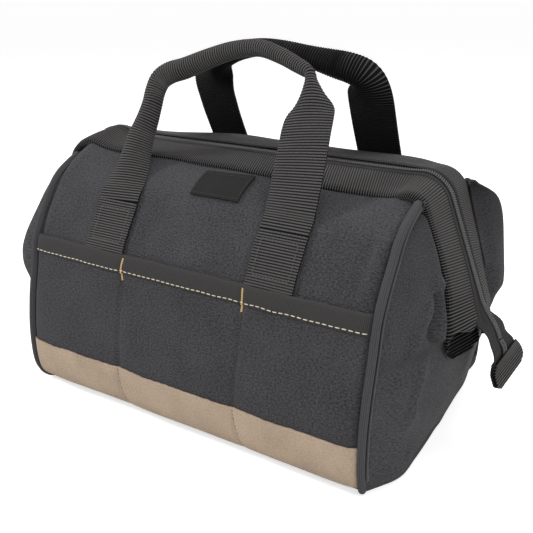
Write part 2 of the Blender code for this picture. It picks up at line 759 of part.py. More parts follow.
def make_pivots():
    front_jaw = make_jaw_pivots(FRONT)
    carry(front_jaw, pieces("label_patch"))
    make_jaw_pivots(BACK)
    slider = add_pivot("slider_axis", (SLIDER_X, 0, ZIP_HEIGHT + CHAIN_DEPTH), front_jaw)
    carry(slider, pieces("zip_slider"))
    pull = add_pivot("pull_axis", (SLIDER_X, 0, CROSSBAR_HEIGHT), slider)
    carry(pull, pieces("zip_pull"))
    for end in (LEFT, RIGHT):
        name = end_name(end)
        tail = add_pivot(name + "_tail_axis", tail_point(end, 0, 0, CHAIN_DEPTH))
        carry(tail, pieces(name + "_zip_tail", name + "_zip_tab"))


clear_scene()
BAG = new_collection("tool_bag")
GUIDES = new_collection("guides")
make_base()
for side in (FRONT, BACK):
    make_lower_wall(side)
    make_upper_wall(side)
    make_pockets(side)
    make_mouth_band(side)
    make_frame_wire(side)
    make_zip(side)
    make_handle(side)
    for end in (LEFT, RIGHT):
        make_half_gusset(side, end)
        make_upper_piping(side, end)
for end in (LEFT, RIGHT):
    make_lower_gusset(end)
    make_lower_piping(end)
    make_tail(end)
make_slider()
make_pull()
make_label()
make_pivots()
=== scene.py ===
"""Looks of the zipped tool bag: cloth, webbing, zip, stitches and the studio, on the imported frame."""
import json
import math

import bpy
import numpy as np
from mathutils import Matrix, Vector

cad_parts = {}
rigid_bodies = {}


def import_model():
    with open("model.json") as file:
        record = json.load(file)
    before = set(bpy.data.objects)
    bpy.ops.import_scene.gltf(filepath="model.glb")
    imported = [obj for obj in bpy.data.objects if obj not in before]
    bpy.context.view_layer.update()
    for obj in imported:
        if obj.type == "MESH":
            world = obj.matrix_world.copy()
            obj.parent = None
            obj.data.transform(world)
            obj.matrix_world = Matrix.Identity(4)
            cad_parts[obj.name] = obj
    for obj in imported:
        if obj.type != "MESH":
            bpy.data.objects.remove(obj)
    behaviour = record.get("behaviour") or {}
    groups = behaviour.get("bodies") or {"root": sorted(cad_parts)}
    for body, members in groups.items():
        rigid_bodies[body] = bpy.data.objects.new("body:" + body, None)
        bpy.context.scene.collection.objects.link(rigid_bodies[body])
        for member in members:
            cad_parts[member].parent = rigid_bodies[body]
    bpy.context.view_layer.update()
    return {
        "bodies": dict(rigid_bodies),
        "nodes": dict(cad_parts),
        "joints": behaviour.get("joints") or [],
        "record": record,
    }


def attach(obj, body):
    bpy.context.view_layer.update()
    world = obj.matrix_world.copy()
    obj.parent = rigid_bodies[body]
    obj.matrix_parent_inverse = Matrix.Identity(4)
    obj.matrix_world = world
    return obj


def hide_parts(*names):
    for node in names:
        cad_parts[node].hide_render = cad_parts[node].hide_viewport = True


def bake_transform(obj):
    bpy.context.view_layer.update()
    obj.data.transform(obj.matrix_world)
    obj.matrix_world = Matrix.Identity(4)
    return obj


bl_info = {
    "name": "Tool bag looks",
    "version": (1, 0, 0),
    "blender": (4, 5, 0),
    "location": "View3D > Sidebar > Tool Bag",
    "description": "Dresses the tool bag's frame in cloth, webbing, zip and stitches",
    "category": "Object",
}

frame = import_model()

FRONT, BACK = -1, 1
LEFT, RIGHT = -1, 1
SIDES = {"front": FRONT, "back": BACK}
ENDS = {"left": LEFT, "right": RIGHT}
MM = 0.001                    # tables of places are written in millimetres


# Sizes

def length(name, description, default):
    return bpy.props.FloatProperty(name=name, description=description, unit="LENGTH",
                                   default=default)


def angle(name, description, degrees):
    return bpy.props.FloatProperty(name=name, description=description, subtype="ANGLE",
                                   default=math.radians(degrees))


def colour(name, description, default):
    return bpy.props.FloatVectorProperty(name=name, description=description, subtype="COLOR",
                                         size=3, default=default)


class BodySizes(bpy.types.PropertyGroup):
    """The fabric body: its seams, its wall profile and its pockets."""
    seam_x: length("End seam", "From the middle to each end seam", 0.1525)
    base_half: length("Base half width", "From the middle to each face at the floor", 0.1015)
    belly: length("Belly", "How far the walls stand out at their fullest", 0.0105)
    foot_round: length("Foot rounding", "Radius of the walls' turn at the floor", 0.012)
    cloth: length("Cloth", "Thickness of the wall cloth", 0.0015)
    pocket_height: length("Pocket height", "Top edge of the pockets", 0.126)
    pocket_depth: length("Pocket depth", "How far the filled pockets stand off the wall", 0.0026)
    divider_x: length("Divider", "From the middle to each pocket seam", 0.0545)
    binding_height: length("Binding", "Height of the pockets' binding", 0.012)
    tan_foot: length("Tan strip foot", "Lower edge of the tan strip", 0.0062)
    tan_top: length("Tan strip top", "Upper edge of the tan strip", 0.0395)
    left_round: length("Left corner", "Rounding of the walls' lower left corners", 0.018)
    right_round: length("Right corner", "Rounding of the walls' lower right corners", 0.009)
    piping: length("Piping radius", "Radius of the covered cord on the end seams", 0.0027)


class MouthSizes(bpy.types.PropertyGroup):
    """The framed mouth: the zip line, the webbing bands and the zip."""
    zip_height: length("Zip height", "Height of the zip line", 0.197)
    straight: length("Straight", "Half of the zip line's straight top", 0.136)
    corner_radius: length("Corner", "Radius of the zip line's corners", 0.026)
    arm_lean: angle("Arm lean", "Lean of the arms from upright", 21)
    arm_foot: length("Arm foot", "Height of the arms' lower ends", 0.083)
    top_tilt: angle("Top tilt", "Slope of the band along the top", 16)
    corner_tilt: angle("Corner tilt", "Slope of the band at the corners", 5)
    arm_tilt: angle("Arm tilt", "Slope of the band at the arms' lower ends", 14)
    webbing_width: length("Webbing width", "Width of the strap and band webbing", 0.038)
    webbing: length("Webbing", "Thickness of the band webbing", 0.0014)
    rib_pitch: length("Rib pitch", "From one rib of the webbing to the next", 0.002)
    rib_height: length("Rib height", "Depth of the grooves between ribs", 0.00062)
    band_start: length("Band start", "From the zip line to the band", 0.007)
    fold_radius: length("Fold radius", "Radius of the band's fold round its wire", 0.0035)
    coil_pitch: length("Coil pitch", "From one turn of the zip coil to the next", 0.0017)


class HandleSizes(bpy.types.PropertyGroup):
    """The two webbing handles."""
    strap_x: length("Strap place", "From the middle to each leg", 0.073)
    strap: length("Strap", "Thickness of the strap", 0.0018)
    stitch_height: length("Stitch row", "Height where each strap leaves the wall", 0.161)
    lean: angle("Lean", "Lean of the handles over the mouth", 28.5)


class Colours(bpy.types.PropertyGroup):
    """Colours of the finishes."""
    cloth: colour("Cloth", "Woven body cloth", (0.057, 0.055, 0.059))
    webbing: colour("Webbing", "Ribbed webbing", (0.04, 0.0385, 0.038))
    tan: colour("Tan", "Woven tan strip", (0.52, 0.4, 0.297))
    coil: colour("Coil", "Nylon zip coil", (0.055, 0.055, 0.056))
    cream: colour("Cream thread", "Stitches along the pockets", (0.74, 0.66, 0.5))
    amber: colour("Amber thread", "Bartacks at the pocket seams", (0.76, 0.5, 0.2))


class StudioSettings(bpy.types.PropertyGroup):
    """Camera and lights."""
    camera_place: bpy.props.FloatVectorProperty(
        name="Camera place", description="Where the camera stands", subtype="TRANSLATION",
        size=3, default=(0.3246, -0.4846, 0.3128))
    azimuth: angle("Azimuth", "How far the camera stands round to the right", 33.2)
    elevation: angle("Elevation", "How far the camera looks down", 20.2)
    lens: bpy.props.FloatProperty(
        name="Lens", description="Focal length on a 36 mm sensor, in millimetres", default=50.58)
    floor: colour("Floor", "Colour of the floor", (0.8, 0.8, 0.8))
    key_power: bpy.props.FloatProperty(
        name="Key light", description="Power of the main lamp, in watts", default=18.0)
    fill_power: bpy.props.FloatProperty(
        name="Fill light", description="Power of the fill lamp, in watts", default=12.0)
    top_power: bpy.props.FloatProperty(
        name="Top light", description="Power of the lamp above, in watts", default=12.0)


GROUPS = {"bag_body": BodySizes, "bag_mouth": MouthSizes, "bag_handles": HandleSizes,
          "bag_colours": Colours, "bag_studio": StudioSettings}


def sizes(name):
    return getattr(bpy.context.scene, name)


# Shader maths

class Wire:
    """A number inside a material, so that its maths is written as maths."""

    def __init__(self, nodes, socket):
        self.nodes = nodes
        self.socket = socket

    def maths(self, operation, *others):
        return self.nodes.node("ShaderNodeMath", {"operation": operation}, (self, *others))

    def __add__(self, other):
        return self.maths("ADD", other)

    __radd__ = __add__

    def __mul__(self, other):
        return self.maths("MULTIPLY", other)

    __rmul__ = __mul__

    def __sub__(self, other):
        return self.maths("SUBTRACT", other)

    def __rsub__(self, other):
        return self * -1.0 + other

    def wave(self, pitch):
        """A wave from 0 to 1 that repeats at each pitch."""
        return (self * (2 * math.pi / pitch)).maths("SINE") * 0.5 + 0.5

    def rib(self, pitch):
        """Rounded ribs from 0 to 1 with a narrow groove at each pitch."""
        return (self * (math.pi / pitch)).maths("SINE").maths("ABSOLUTE")


class Nodes:
    """The nodes of a material or of the world."""

    def __init__(self, tree):
        self.tree = tree

    def node(self, kind, settings=None, values=(), output=0):
        """Add a node, set it up, and feed its sockets by place or by name."""
        made = self.tree.nodes.new(kind)
        for key, value in (settings or {}).items():
            setattr(made, key, value)
        pairs = values.items() if isinstance(values, dict) else enumerate(values)
        for socket, value in pairs:
            if isinstance(value, Wire):
                self.tree.links.new(value.socket, made.inputs[socket])
            else:
                made.inputs[socket].default_value = value
        return Wire(self, made.outputs[output])

    def shown(self):
        """1 for what the camera sees, straight, by reflection or through glass."""
        rays = [self.node("ShaderNodeLightPath", output=name) for name in
                ("Is Camera Ray", "Is Glossy Ray", "Is Transmission Ray")]
        return rays[0].maths("MAXIMUM", rays[1]).maths("MAXIMUM", rays[2])


class Look(Nodes):
    """A material being made: its shader and the coordinates its patterns read."""

    def __init__(self, name, roughness=0.8, metallic=0.0, **sockets):
        self.material = bpy.data.materials.new(name)
        self.material.use_nodes = True
        super().__init__(self.material.node_tree)
        self.shader = self.tree.nodes["Principled BSDF"]
        self.shader.inputs["Roughness"].default_value = roughness
        self.shader.inputs["Metallic"].default_value = metallic
        for socket, value in sockets.items():
            self.shader.inputs[socket.replace("_", " ")].default_value = value

    def cloth_places(self):
        """The place on the cloth, and how far across and along it that is, in metres."""
        place = self.node("ShaderNodeUVMap", {"uv_map": "UVMap"})
        across = self.node("ShaderNodeSeparateXYZ", values=[place])
        return place, across, Wire(self, across.socket.node.outputs[1])

    def object_place(self):
        return self.node("ShaderNodeTexCoord", output="Object")

    def grain(self, place, scale, detail=2.0, roughness=0.6):
        """Noise from 0 to 1 with its middle at about a half."""
        return self.node("ShaderNodeTexNoise", values={
            "Vector": place, "Scale": scale, "Detail": detail, "Roughness": roughness})

    def stretched(self, place, scale):
        return self.node("ShaderNodeMapping", values={"Vector": place, "Scale": scale})

    def paint(self, share, low, high):
        """Colour the surface between two colours."""
        made = self.node("ShaderNodeMix", {"data_type": "RGBA"},
                         {0: share, 6: (*low, 1), 7: (*high, 1)}, output=2)
        self.tree.links.new(made.socket, self.shader.inputs["Base Color"])

    def roughen(self, value):
        self.tree.links.new(value.socket, self.shader.inputs["Roughness"])

    def relief(self, height, depth):
        """Bump whose height runs from 0 to 1 over the depth."""
        bump = self.node("ShaderNodeBump", values={
            "Strength": 1.0, "Distance": depth, "Height": height})
        self.tree.links.new(bump.socket, self.shader.inputs["Normal"])


def shade(colour, share):
    return tuple(share * part for part in colour)


TWILL_PITCH = 0.0013
WARP_PITCH = 0.0011


def woven_cloth(name, colour, contrast=2.4):
    """Twill: fine slanting ridges over crossing yarns, lighter where they catch the light."""
    look = Look(name, roughness=0.85, Sheen_Weight=0.05, Sheen_Roughness=0.5,
                Specular_IOR_Level=0.1)
    place, across, along = look.cloth_places()
    ridge = (across + along).wave(TWILL_PITCH)
    yarn = (across - along).wave(TWILL_PITCH / 2)
    heather = look.grain(look.stretched(place, (1.0, 1.6, 1.0)), 560.0, detail=3.0)
    cloud = look.grain(place, 24.0, detail=3.0)
    weave = ridge * 0.65 + yarn * 0.35
    look.paint(weave * 0.6 + heather * contrast + cloud * 0.5 - contrast * 0.5 - 0.05,
               shade(colour, 0.3), shade(colour, 1.7))
    look.roughen(heather * 0.16 + 0.76)
    look.relief(weave * 0.75 + heather * 0.25, 0.0004)
    return look


def ribbed_webbing(name, colour, pitch, crest_highlight_sharpness, low, high):
    """Webbing: each rib is crossed by warp yarns; the grooves are painted dark as shade and the rib
    crests painted bright as highlight.
    """
    look = Look(name, roughness=0.6, Specular_IOR_Level=0.05)
    place, across, along = look.cloth_places()
    # rib is 1 on each crest and 0 in each groove: painted highlight on the crests, painted shade in the
    # grooves
    rib = along.rib(pitch).maths("POWER", crest_highlight_sharpness)
    yarn = across.wave(WARP_PITCH)
    fray = look.grain(look.stretched(place, (3.0, 1.0, 1.0)), 700.0)
    cloud = look.grain(place, 30.0, detail=3.0)
    # low is the painted shade of the grooves and high the painted highlight of the crests
    look.paint(rib * (yarn * 0.4 + fray * 0.7 + cloud * 0.25), shade(colour, low),
               shade(colour, high))
    look.roughen(fray * 0.2 + 0.52)
    look.relief(yarn * 0.6 + fray * 0.4, 0.00016)
    return look


def flat_tape(name, colour, pitch=0.0011):
    """Plain narrow tape with fine ribs across it."""
    look = Look(name, roughness=0.78, Specular_IOR_Level=0.08)
    place, across = look.cloth_places()[:2]
    rib = across.wave(pitch)
    fray = look.grain(place, 800.0)
    look.paint(rib * 0.5 + fray * 0.5, shade(colour, 0.5), shade(colour, 1.45))
    look.relief(rib * 0.7 + fray * 0.3, 0.0002)
    return look


def grained(name, low, high, scale, detail=2.0, stretch=None, gloss=None, depth=None, **settings):
    """A surface whose colour, roughness and relief follow one fine grain."""
    look = Look(name, **settings)
    place = look.object_place()
    if stretch:
        place = look.stretched(place, stretch)
    grain = look.grain(place, scale, detail)
    look.paint(grain, low, high)
    if gloss:
        look.roughen(grain * (gloss[1] - gloss[0]) + gloss[0])
    if depth:
        look.relief(grain, depth)
    return look


def thread(name, colour):
    """Twisted thread, seen as a fine uneven grain."""
    return grained(name, shade(colour, 0.7), shade(colour, 1.2), 2600.0, depth=0.0001,
                   roughness=0.55, Sheen_Weight=0.2, Specular_IOR_Level=0.4)


def flecked_board(name, low, high):
    return grained(name, (low,) * 3, (high,) * 3, 350.0, 4.0, depth=0.0001, roughness=0.6)


LOOKS = {}


# Curves and waves, on whole arrays

def hermite(t, low, high, low_slope, high_slope):
    """Between two values that have slopes, at a share t of the way."""
    return ((2 * t**3 - 3 * t**2 + 1) * low + (t**3 - 2 * t**2 + t) * low_slope
            + (3 * t**2 - 2 * t**3) * high + (t**3 - t**2) * high_slope)


def line_of(points, unit=1.0, value_unit=1.0):
    """A smooth function of the first coordinate that runs through the points."""
    spots, values = (np.array(points, dtype=float) * (unit, value_unit)).T
    order = np.arange(len(spots))
    before, after = np.maximum(order - 1, 0), np.minimum(order + 1, len(spots) - 1)
    slopes = (values[after] - values[before]) / (spots[after] - spots[before])

    def value(at):
        at = np.clip(np.asarray(at, dtype=float), spots[0], spots[-1])
        n = np.clip(np.searchsorted(spots, at, side="right") - 1, 0, len(spots) - 2)
        span = spots[n + 1] - spots[n]
        return hermite((at - spots[n]) / span, values[n], values[n + 1], span * slopes[n],
                       span * slopes[n + 1])
    return value


def ease(low, high, at):
    """0 below low, 1 above high, and smooth between."""
    t = np.clip((np.asarray(at, dtype=float) - low) / (high - low), 0, 1)
    return t * t * (3 - 2 * t)


def mix(a, b, share):
    return a + (b - a) * share


def turned_in(radius, z):
    """How far a rounded corner has turned in at a height above the floor."""
    low = np.clip(radius - np.asarray(z, dtype=float), 0, radius)
    return radius - np.sqrt(radius**2 - low**2)


def ripple(seed, wavelength, *places):
    """Soft uneven waves of about -1 to 1, the same each run."""
    random = np.random.default_rng(seed)
    total = 0.0
    waves = 7
    for _ in range(waves):
        way = random.normal(size=len(places))
        way /= np.linalg.norm(way)
        stretch = wavelength * random.uniform(0.7, 1.6)
        phase = random.uniform(0, 2 * math.pi)
        reach = sum(w * p for w, p in zip(way, places))
        total = total + np.sin(reach * (2 * math.pi / stretch) + phase)
    return total / waves * 1.7


def fold(path, width, height, a, b, fade=0.25):
    """A ridge, or a hollow where height is negative, along a path of (a, b) places.

    The path, the width and the height are in millimetres.
    """
    path = MM * np.array(path, dtype=float)
    spans = np.linalg.norm(np.diff(path, axis=0), axis=1)
    best = np.full(np.shape(a), 1e9)
    along = np.zeros(np.shape(a))
    done = 0.0
    for p, q, span in zip(path, path[1:], spans):
        way = (q - p) / span
        t = np.clip((a - p[0]) * way[0] + (b - p[1]) * way[1], 0, span)
        near = np.hypot(a - p[0] - t * way[0], b - p[1] - t * way[1])
        closer = near < best
        best = np.where(closer, near, best)
        along = np.where(closer, (done + t) / spans.sum(), along)
        done += span
    window = ease(0, fade, along) * ease(0, fade, 1 - along)
    return height * MM * window * np.exp(-(best / (width * MM)) ** 2)


def folds(table, a, b):
    """The sum of the folds in a table of paths, widths, heights and fades."""
    return sum(fold(*row[:3], a, b, *row[3:]) for row in table)


def seam_dip(depth, away):
    """How far cloth sinks beside a seam, by the way to it."""
    return depth * np.exp(-(away / 0.0042) ** 2)


def even_path(points, count, measured=None):
    """Coordinates at even steps of length along a smooth curve through the points.

    Only the first few coordinates are measured where a number of them is given. Gives the
    table of coordinates and the length.
    """
    points = np.array(points, dtype=float)
    measured = measured or points.shape[1]
    steps = np.linalg.norm(np.diff(points[:, :measured], axis=0), axis=1)
    chords = np.concatenate(([0], np.cumsum(steps)))
    fine = np.linspace(0, chords[-1], 4000)
    table = np.stack([line_of(list(zip(chords, column)))(fine) for column in points.T], axis=1)
    steps = np.linalg.norm(np.diff(table[:, :measured], axis=0), axis=1)
    arc = np.concatenate(([0], np.cumsum(steps)))
    even = np.linspace(0, arc[-1], count)
    return np.stack([np.interp(even, arc, column) for column in table.T], axis=1), arc[-1]


def outline_of(points, steps):
    """A function that gives the coordinates at a share along a smooth line, and its length."""
    path, long = even_path(points, steps + 1)
    return lambda share: np.moveaxis(path[np.rint(share * steps).astype(int)], -1, 0), long


# The bag's lines

BAND_REACH = 0.0445           # from the zip line to the visible band's outer edge
WALL_RISE_START = 0.146       # above this the walls and ends are raised to meet the band
LEFT_CORNER = -0.155          # place along the zip of the corner that is pushed out in front
LEFT_CORNER_PUSH = 0.009
LEFT_CORNER_WIDTH = 0.024
BACK_RISE = 0.35              # share of the rise that the back wall follows
TAIL_LIFT = 0.0053            # how far the tails start out from the arms' line
TAIL_TWIST = 0.0056


class Lines:
    """Where the walls, the mouth and the handles run. side is -1 in front and 1 at the back."""

    def __init__(self):
        self.body, self.mouth, self.hands = map(sizes, ("bag_body", "bag_mouth", "bag_handles"))
        body, mouth, hands = self.body, self.mouth, self.hands
        self.corner_turn = math.pi / 2 - mouth.arm_lean
        self.corner_length = mouth.corner_radius * self.corner_turn
        self.arm_x = mouth.straight + mouth.corner_radius * math.sin(self.corner_turn)
        self.arm_z = mouth.zip_height - mouth.corner_radius * (1 - math.cos(self.corner_turn))
        self.arm_length = (self.arm_z - mouth.arm_foot) / math.cos(mouth.arm_lean)
        self.half_zip = mouth.straight + self.corner_length + self.arm_length
        half = mouth.webbing / 2
        self.fold_across = mouth.band_start + mouth.webbing_width - mouth.fold_radius - half
        self.fold_depth = -half - mouth.fold_radius
        self.chain_depth = -0.0032
        y, z = self.jaw(BACK, 0.0, self.fold_across, self.fold_depth, FRAME)[1:]
        tuck = mouth.fold_radius + half + 0.0003
        self.top_y = float(y) + tuck
        self.top_z = float(z) + tuck * 0.25
        self.wall_line = line_of([
            (0.0, body.base_half + 0.002), (0.016, body.base_half + body.belly * 0.86),
            (0.045, body.base_half + body.belly), (0.075, body.base_half + body.belly * 0.67),
            (0.1, body.base_half + body.belly * 0.16),
            (body.pocket_height, body.base_half - 0.004),
            (hands.stitch_height, body.base_half - 0.0245),
            (0.172, body.base_half - 0.0365), (self.top_z, self.top_y)])

    def reach(self, z):
        """From the middle plane to a wall's face, turned in at the floor."""
        return self.wall_line(z) - turned_in(self.body.foot_round, z)

    def raise_top(self, side, x):
        """How far the visible band's outer edge, and the wall's top with it, is above its frame."""
        mouth = self.mouth
        past = np.clip((np.abs(x) - mouth.straight) / mouth.corner_radius, 0, 0.9)
        at = np.sign(x) * (np.minimum(np.abs(x), mouth.straight)
                           + mouth.corner_radius * np.arcsin(past))
        turn, tilt = self.zip_line(at)[2:]
        push = self.corner_push(at) * np.cos(turn) if side == FRONT else 0
        push = push * (1 - 0.75 * ease(0.138, self.body.seam_x, np.abs(x)))
        share = 1 if side == FRONT else BACK_RISE
        rise = BAND_REACH * np.maximum(np.sin(tilt) - np.sin(FACE_SLOPES[side](at)), 0)
        return push + share * rise

    def lowered(self, side, x, z):
        """The frame's height for a height on the wall, whose top follows the visible band."""
        lift = self.raise_top(side, x)
        return z - lift * ease(WALL_RISE_START, self.top_z, z - lift)

    def seam(self, end, z):
        """From the middle to an end seam, turned in at the floor."""
        rounding = self.body.left_round if end == LEFT else self.body.right_round
        return self.body.seam_x - turned_in(rounding, z)

    def across(self, share, z, inset):
        """x at a share of the way from the left seam to the right one."""
        return mix(inset - self.seam(LEFT, z), self.seam(RIGHT, z) - inset, share)

    def wall(self, side, x, z, out=0.0):
        """A point out from a wall's face."""
        step = 0.0005
        z = z + 0 * x
        low, middle, high = (self.reach(self.lowered(side, x, z + offset))
                             for offset in (-step, 0, step))
        slope = (high - low) / (2 * step)
        size = np.sqrt(1 + slope**2)
        return x + 0 * z, side * (middle + out / size), z - slope / size * out

    def zip_line(self, at):
        """Place, turn and slope at a length along the zip from its middle."""
        mouth = self.mouth
        way = np.where(np.asarray(at) < 0, -1.0, 1.0)
        far = np.abs(at)
        turn = np.clip((far - mouth.straight) / mouth.corner_radius, 0, self.corner_turn)
        arm = np.maximum(far - mouth.straight - self.corner_length, 0)
        x = (np.minimum(far, mouth.straight) + mouth.corner_radius * np.sin(turn)
             + arm * math.sin(mouth.arm_lean))
        z = (mouth.zip_height - mouth.corner_radius * (1 - np.cos(turn))
             - arm * math.cos(mouth.arm_lean))
        tilt = mix(mouth.top_tilt, mouth.corner_tilt,
                   np.sin(turn / self.corner_turn * math.pi / 2))
        tilt = tilt + (mouth.arm_tilt - mouth.corner_tilt) * arm / self.arm_length
        return way * x, z, way * turn, tilt

    def corner_push(self, at):
        """How far the bag's upper left corner is pushed out in front."""
        return LEFT_CORNER_PUSH * np.exp(-((at - LEFT_CORNER) / LEFT_CORNER_WIDTH) ** 2)

    def chain(self, at):
        """The depth of the zip's chain: it rises where it leaves the straight top."""
        straight = self.mouth.straight
        return mix(-0.0018, -0.0006, ease(straight - 0.012, straight + 0.01, np.abs(at)))

    def jaw(self, side, at, across, depth, slope=None):
        """A point of a jaw: across from the zip line, and depth out from the band's face.

        The slope is the face's, the hidden frame's where FRAME is given, or none where FLAT is.
        """
        x, z, turn, tilt = self.zip_line(at)
        if slope is None:
            tilt = FACE_SLOPES[side](at)
        elif slope == FLAT:
            tilt = tilt * 0
        level = across * np.cos(tilt) + depth * np.sin(tilt)
        up = depth * np.cos(tilt) - across * np.sin(tilt)
        up = up + self.corner_push(at) * (1 - ease(-0.008, 0.028, side * level))
        return x + np.sin(turn) * up, side * level, z + np.cos(turn) * up

    def tail(self, end, y, below, out):
        """A point below the arms' ends along their line: the back edge is twisted up and out."""
        x, z, turn = self.zip_line(end * self.half_zip)[:3]
        lean = self.mouth.arm_lean
        twist = ease(-0.004, 0.026, below) * (1 + y / 0.016) * TAIL_TWIST
        out = out + TAIL_LIFT * (1 - 0.9 * ease(0.004, 0.022, below)) + twist
        below = below - twist
        return (x + end * math.sin(lean) * below + np.sin(turn) * out, y + 0 * below,
                z - math.cos(lean) * below + np.cos(turn) * out)

    def pocket(self, side, x, z, out=0.0):
        """A point out from the pockets' face."""
        stand = 0.0018 + pocket_swell(side, x, z)
        return x + 0 * z, side * (self.reach(z) + stand + out), z + 0 * x


FRAME, FLAT = "frame", "flat"
FACE_SLOPES = {side: line_of(table, MM, math.radians(1)) for side, table in {
    FRONT: [(-272, 14), (-248, 12), (-224, 3), (-196, 0.5), (-170, 3.5), (-156, 8), (-136, 7.5),
            (-78, 6.5), (-43, 6.5), (20, 8.8), (64, 12), (95, 14), (133, 12), (156, 1),
            (170, 0.5), (196, 0.5), (224, 3), (248, 12), (272, 14)],
    BACK: [(-272, 15), (-224, 12), (-196, 9), (-176, 7), (-164, 6), (-152, 6), (-136, 7),
           (-114, 5.5), (-91, 3), (-69, 0.5), (-48, -1), (14, 1.5), (99, 1), (119, 2), (135, 5),
           (153, 6), (170, 7), (196, 9.5), (224, 12), (272, 15)]}.items()}
BAG_LINES = {}


def lines():
    """The bag's lines, worked out once from its sizes."""
    if not BAG_LINES:
        BAG_LINES["bag"] = Lines()
    return BAG_LINES["bag"]


POCKET_PROFILE = line_of([(0, 0.2), (5, 0.35), (12, 0.66), (22, 0.88), (38, 1), (60, 0.93),
                          (85, 0.66), (105, 0.4), (126, 0.16)], MM)
POCKET_FULLNESS = {FRONT: (0.92, 1.0, 1.08), BACK: (1.05, 0.95, 1.0)}


def divider_at(side, z):
    """How far the two pocket seams drift sideways near the floor."""
    return -side * 0.0055 * (1 - ease(0.004, 0.04, z))


def pocket_swell(side, x, z):
    """How far the filled pockets stand off the wall."""
    body = sizes("bag_body")
    edge = body.seam_x
    drift = divider_at(side, z)
    seams = [-edge + 0 * drift, -body.divider_x + drift, body.divider_x + drift,
             edge + 0 * drift]
    across = 0.0
    for left, right, full in zip(seams, seams[1:], POCKET_FULLNESS[side]):
        t = (2 * x - left - right) / (right - left)
        across = across + (np.abs(t) <= 1) * full * (1 - np.abs(np.clip(t, -1, 1)) ** 2.6)
    away = edge - np.abs(x)
    sewn = 0.3 * ease(0, 0.02, away)
    upward = POCKET_PROFILE(z)
    waves = 0.0009 * ripple(11 + side, 0.06, x, z) * ease(0, 0.03, away) * upward
    sewn_in = sum(np.exp(-((x - middle) / 0.0022) ** 2) for middle in seams[1:3])
    waves = waves - 0.001 * sewn_in * ease(0.004, 0.012, z)
    over_strap = np.exp(-((np.abs(x) - sizes("bag_handles").strap_x) / 0.024) ** 4)
    return (body.pocket_depth * upward * (sewn + (1 - sewn) * across) + waves
            - seam_dip(0.0034, away) + 0.0012 * ease(0.1, 0.124, z) * over_strap)


# Meshes

def add_piece(name, mesh):
    piece = bpy.data.objects.new(name, mesh)
    bpy.context.scene.collection.objects.link(piece)
    return piece


def choose(piece):
    bpy.ops.object.select_all(action="DESELECT")
    piece.select_set(True)
    bpy.context.view_layer.objects.active = piece


def lay_cloth(name, columns, rows, place, relief=None, width=None, long=None):
    """Add a grid and lay it out as cloth.

    place takes shares across and along, from 0 to 1, and gives the point there; relief gives a
    height to add outwards. The UV map is in metres; width and long are given where they aren't
    to be measured.
    """
    bpy.ops.object.select_all(action="DESELECT")
    bpy.ops.mesh.primitive_grid_add(x_subdivisions=columns, y_subdivisions=rows, size=1.0)
    piece = bpy.context.object
    piece.name = piece.data.name = name
    u, v = np.meshgrid(np.linspace(0, 1, columns + 1), np.linspace(0, 1, rows + 1))
    net = np.stack([part + 0 * u for part in place(u, v)], axis=-1)
    if relief is not None:
        normal = np.cross(np.gradient(net, axis=1), np.gradient(net, axis=0))
        normal /= np.maximum(np.linalg.norm(normal, axis=-1, keepdims=True), 1e-12)
        outward = net - (0, 0, 0.09)
        if (normal * outward).sum() < 0:
            normal = -normal
        net = net + normal * (relief(u, v) + 0 * u)[..., None]
    mesh = piece.data
    flat = np.empty(len(mesh.vertices) * 3)
    mesh.vertices.foreach_get("co", flat)
    flat = flat.reshape(-1, 3)
    i = np.rint((flat[:, 0] + 0.5) * columns).astype(int)
    j = np.rint((flat[:, 1] + 0.5) * rows).astype(int)
    mesh.vertices.foreach_set("co", net[j, i].ravel())
    if width is None:
        width = np.linalg.norm(np.diff(net, axis=1), axis=-1).sum(axis=1).mean()
    if long is None:
        steps = np.linalg.norm(np.diff(net, axis=0), axis=-1).mean(axis=1)
        spots = np.concatenate(([0], np.cumsum(steps)))
    else:
        spots = np.linspace(0, long, rows + 1)
    corners = np.empty(len(mesh.loops), dtype=np.int32)
    mesh.loops.foreach_get("vertex_index", corners)
    chart = np.stack((i[corners] / columns * width, spots[j[corners]]), axis=-1)
    mesh.uv_layers[0].data.foreach_set("uv", chart.ravel())
    mesh.update()
    return piece


def apply_modifiers(piece):
    choose(piece)
    for modifier in list(piece.modifiers):
        bpy.ops.object.modifier_apply(modifier=modifier.name)


def thicken(piece, thickness):
    wall = piece.modifiers.new("Thickness", "SOLIDIFY")
    wall.thickness = thickness
    wall.offset = 0.0
    wall.use_even_offset = False
    apply_modifiers(piece)
    return piece


def weld(piece, distance=0.00002):
    """Close a rolled grid along its seam and at its ends."""
    choose(piece)
    bpy.ops.object.mode_set(mode="EDIT")
    bpy.ops.mesh.select_all(action="SELECT")
    bpy.ops.mesh.remove_doubles(threshold=distance)
    bpy.ops.mesh.normals_make_consistent(inside=False)
    bpy.ops.object.mode_set(mode="OBJECT")
    return piece


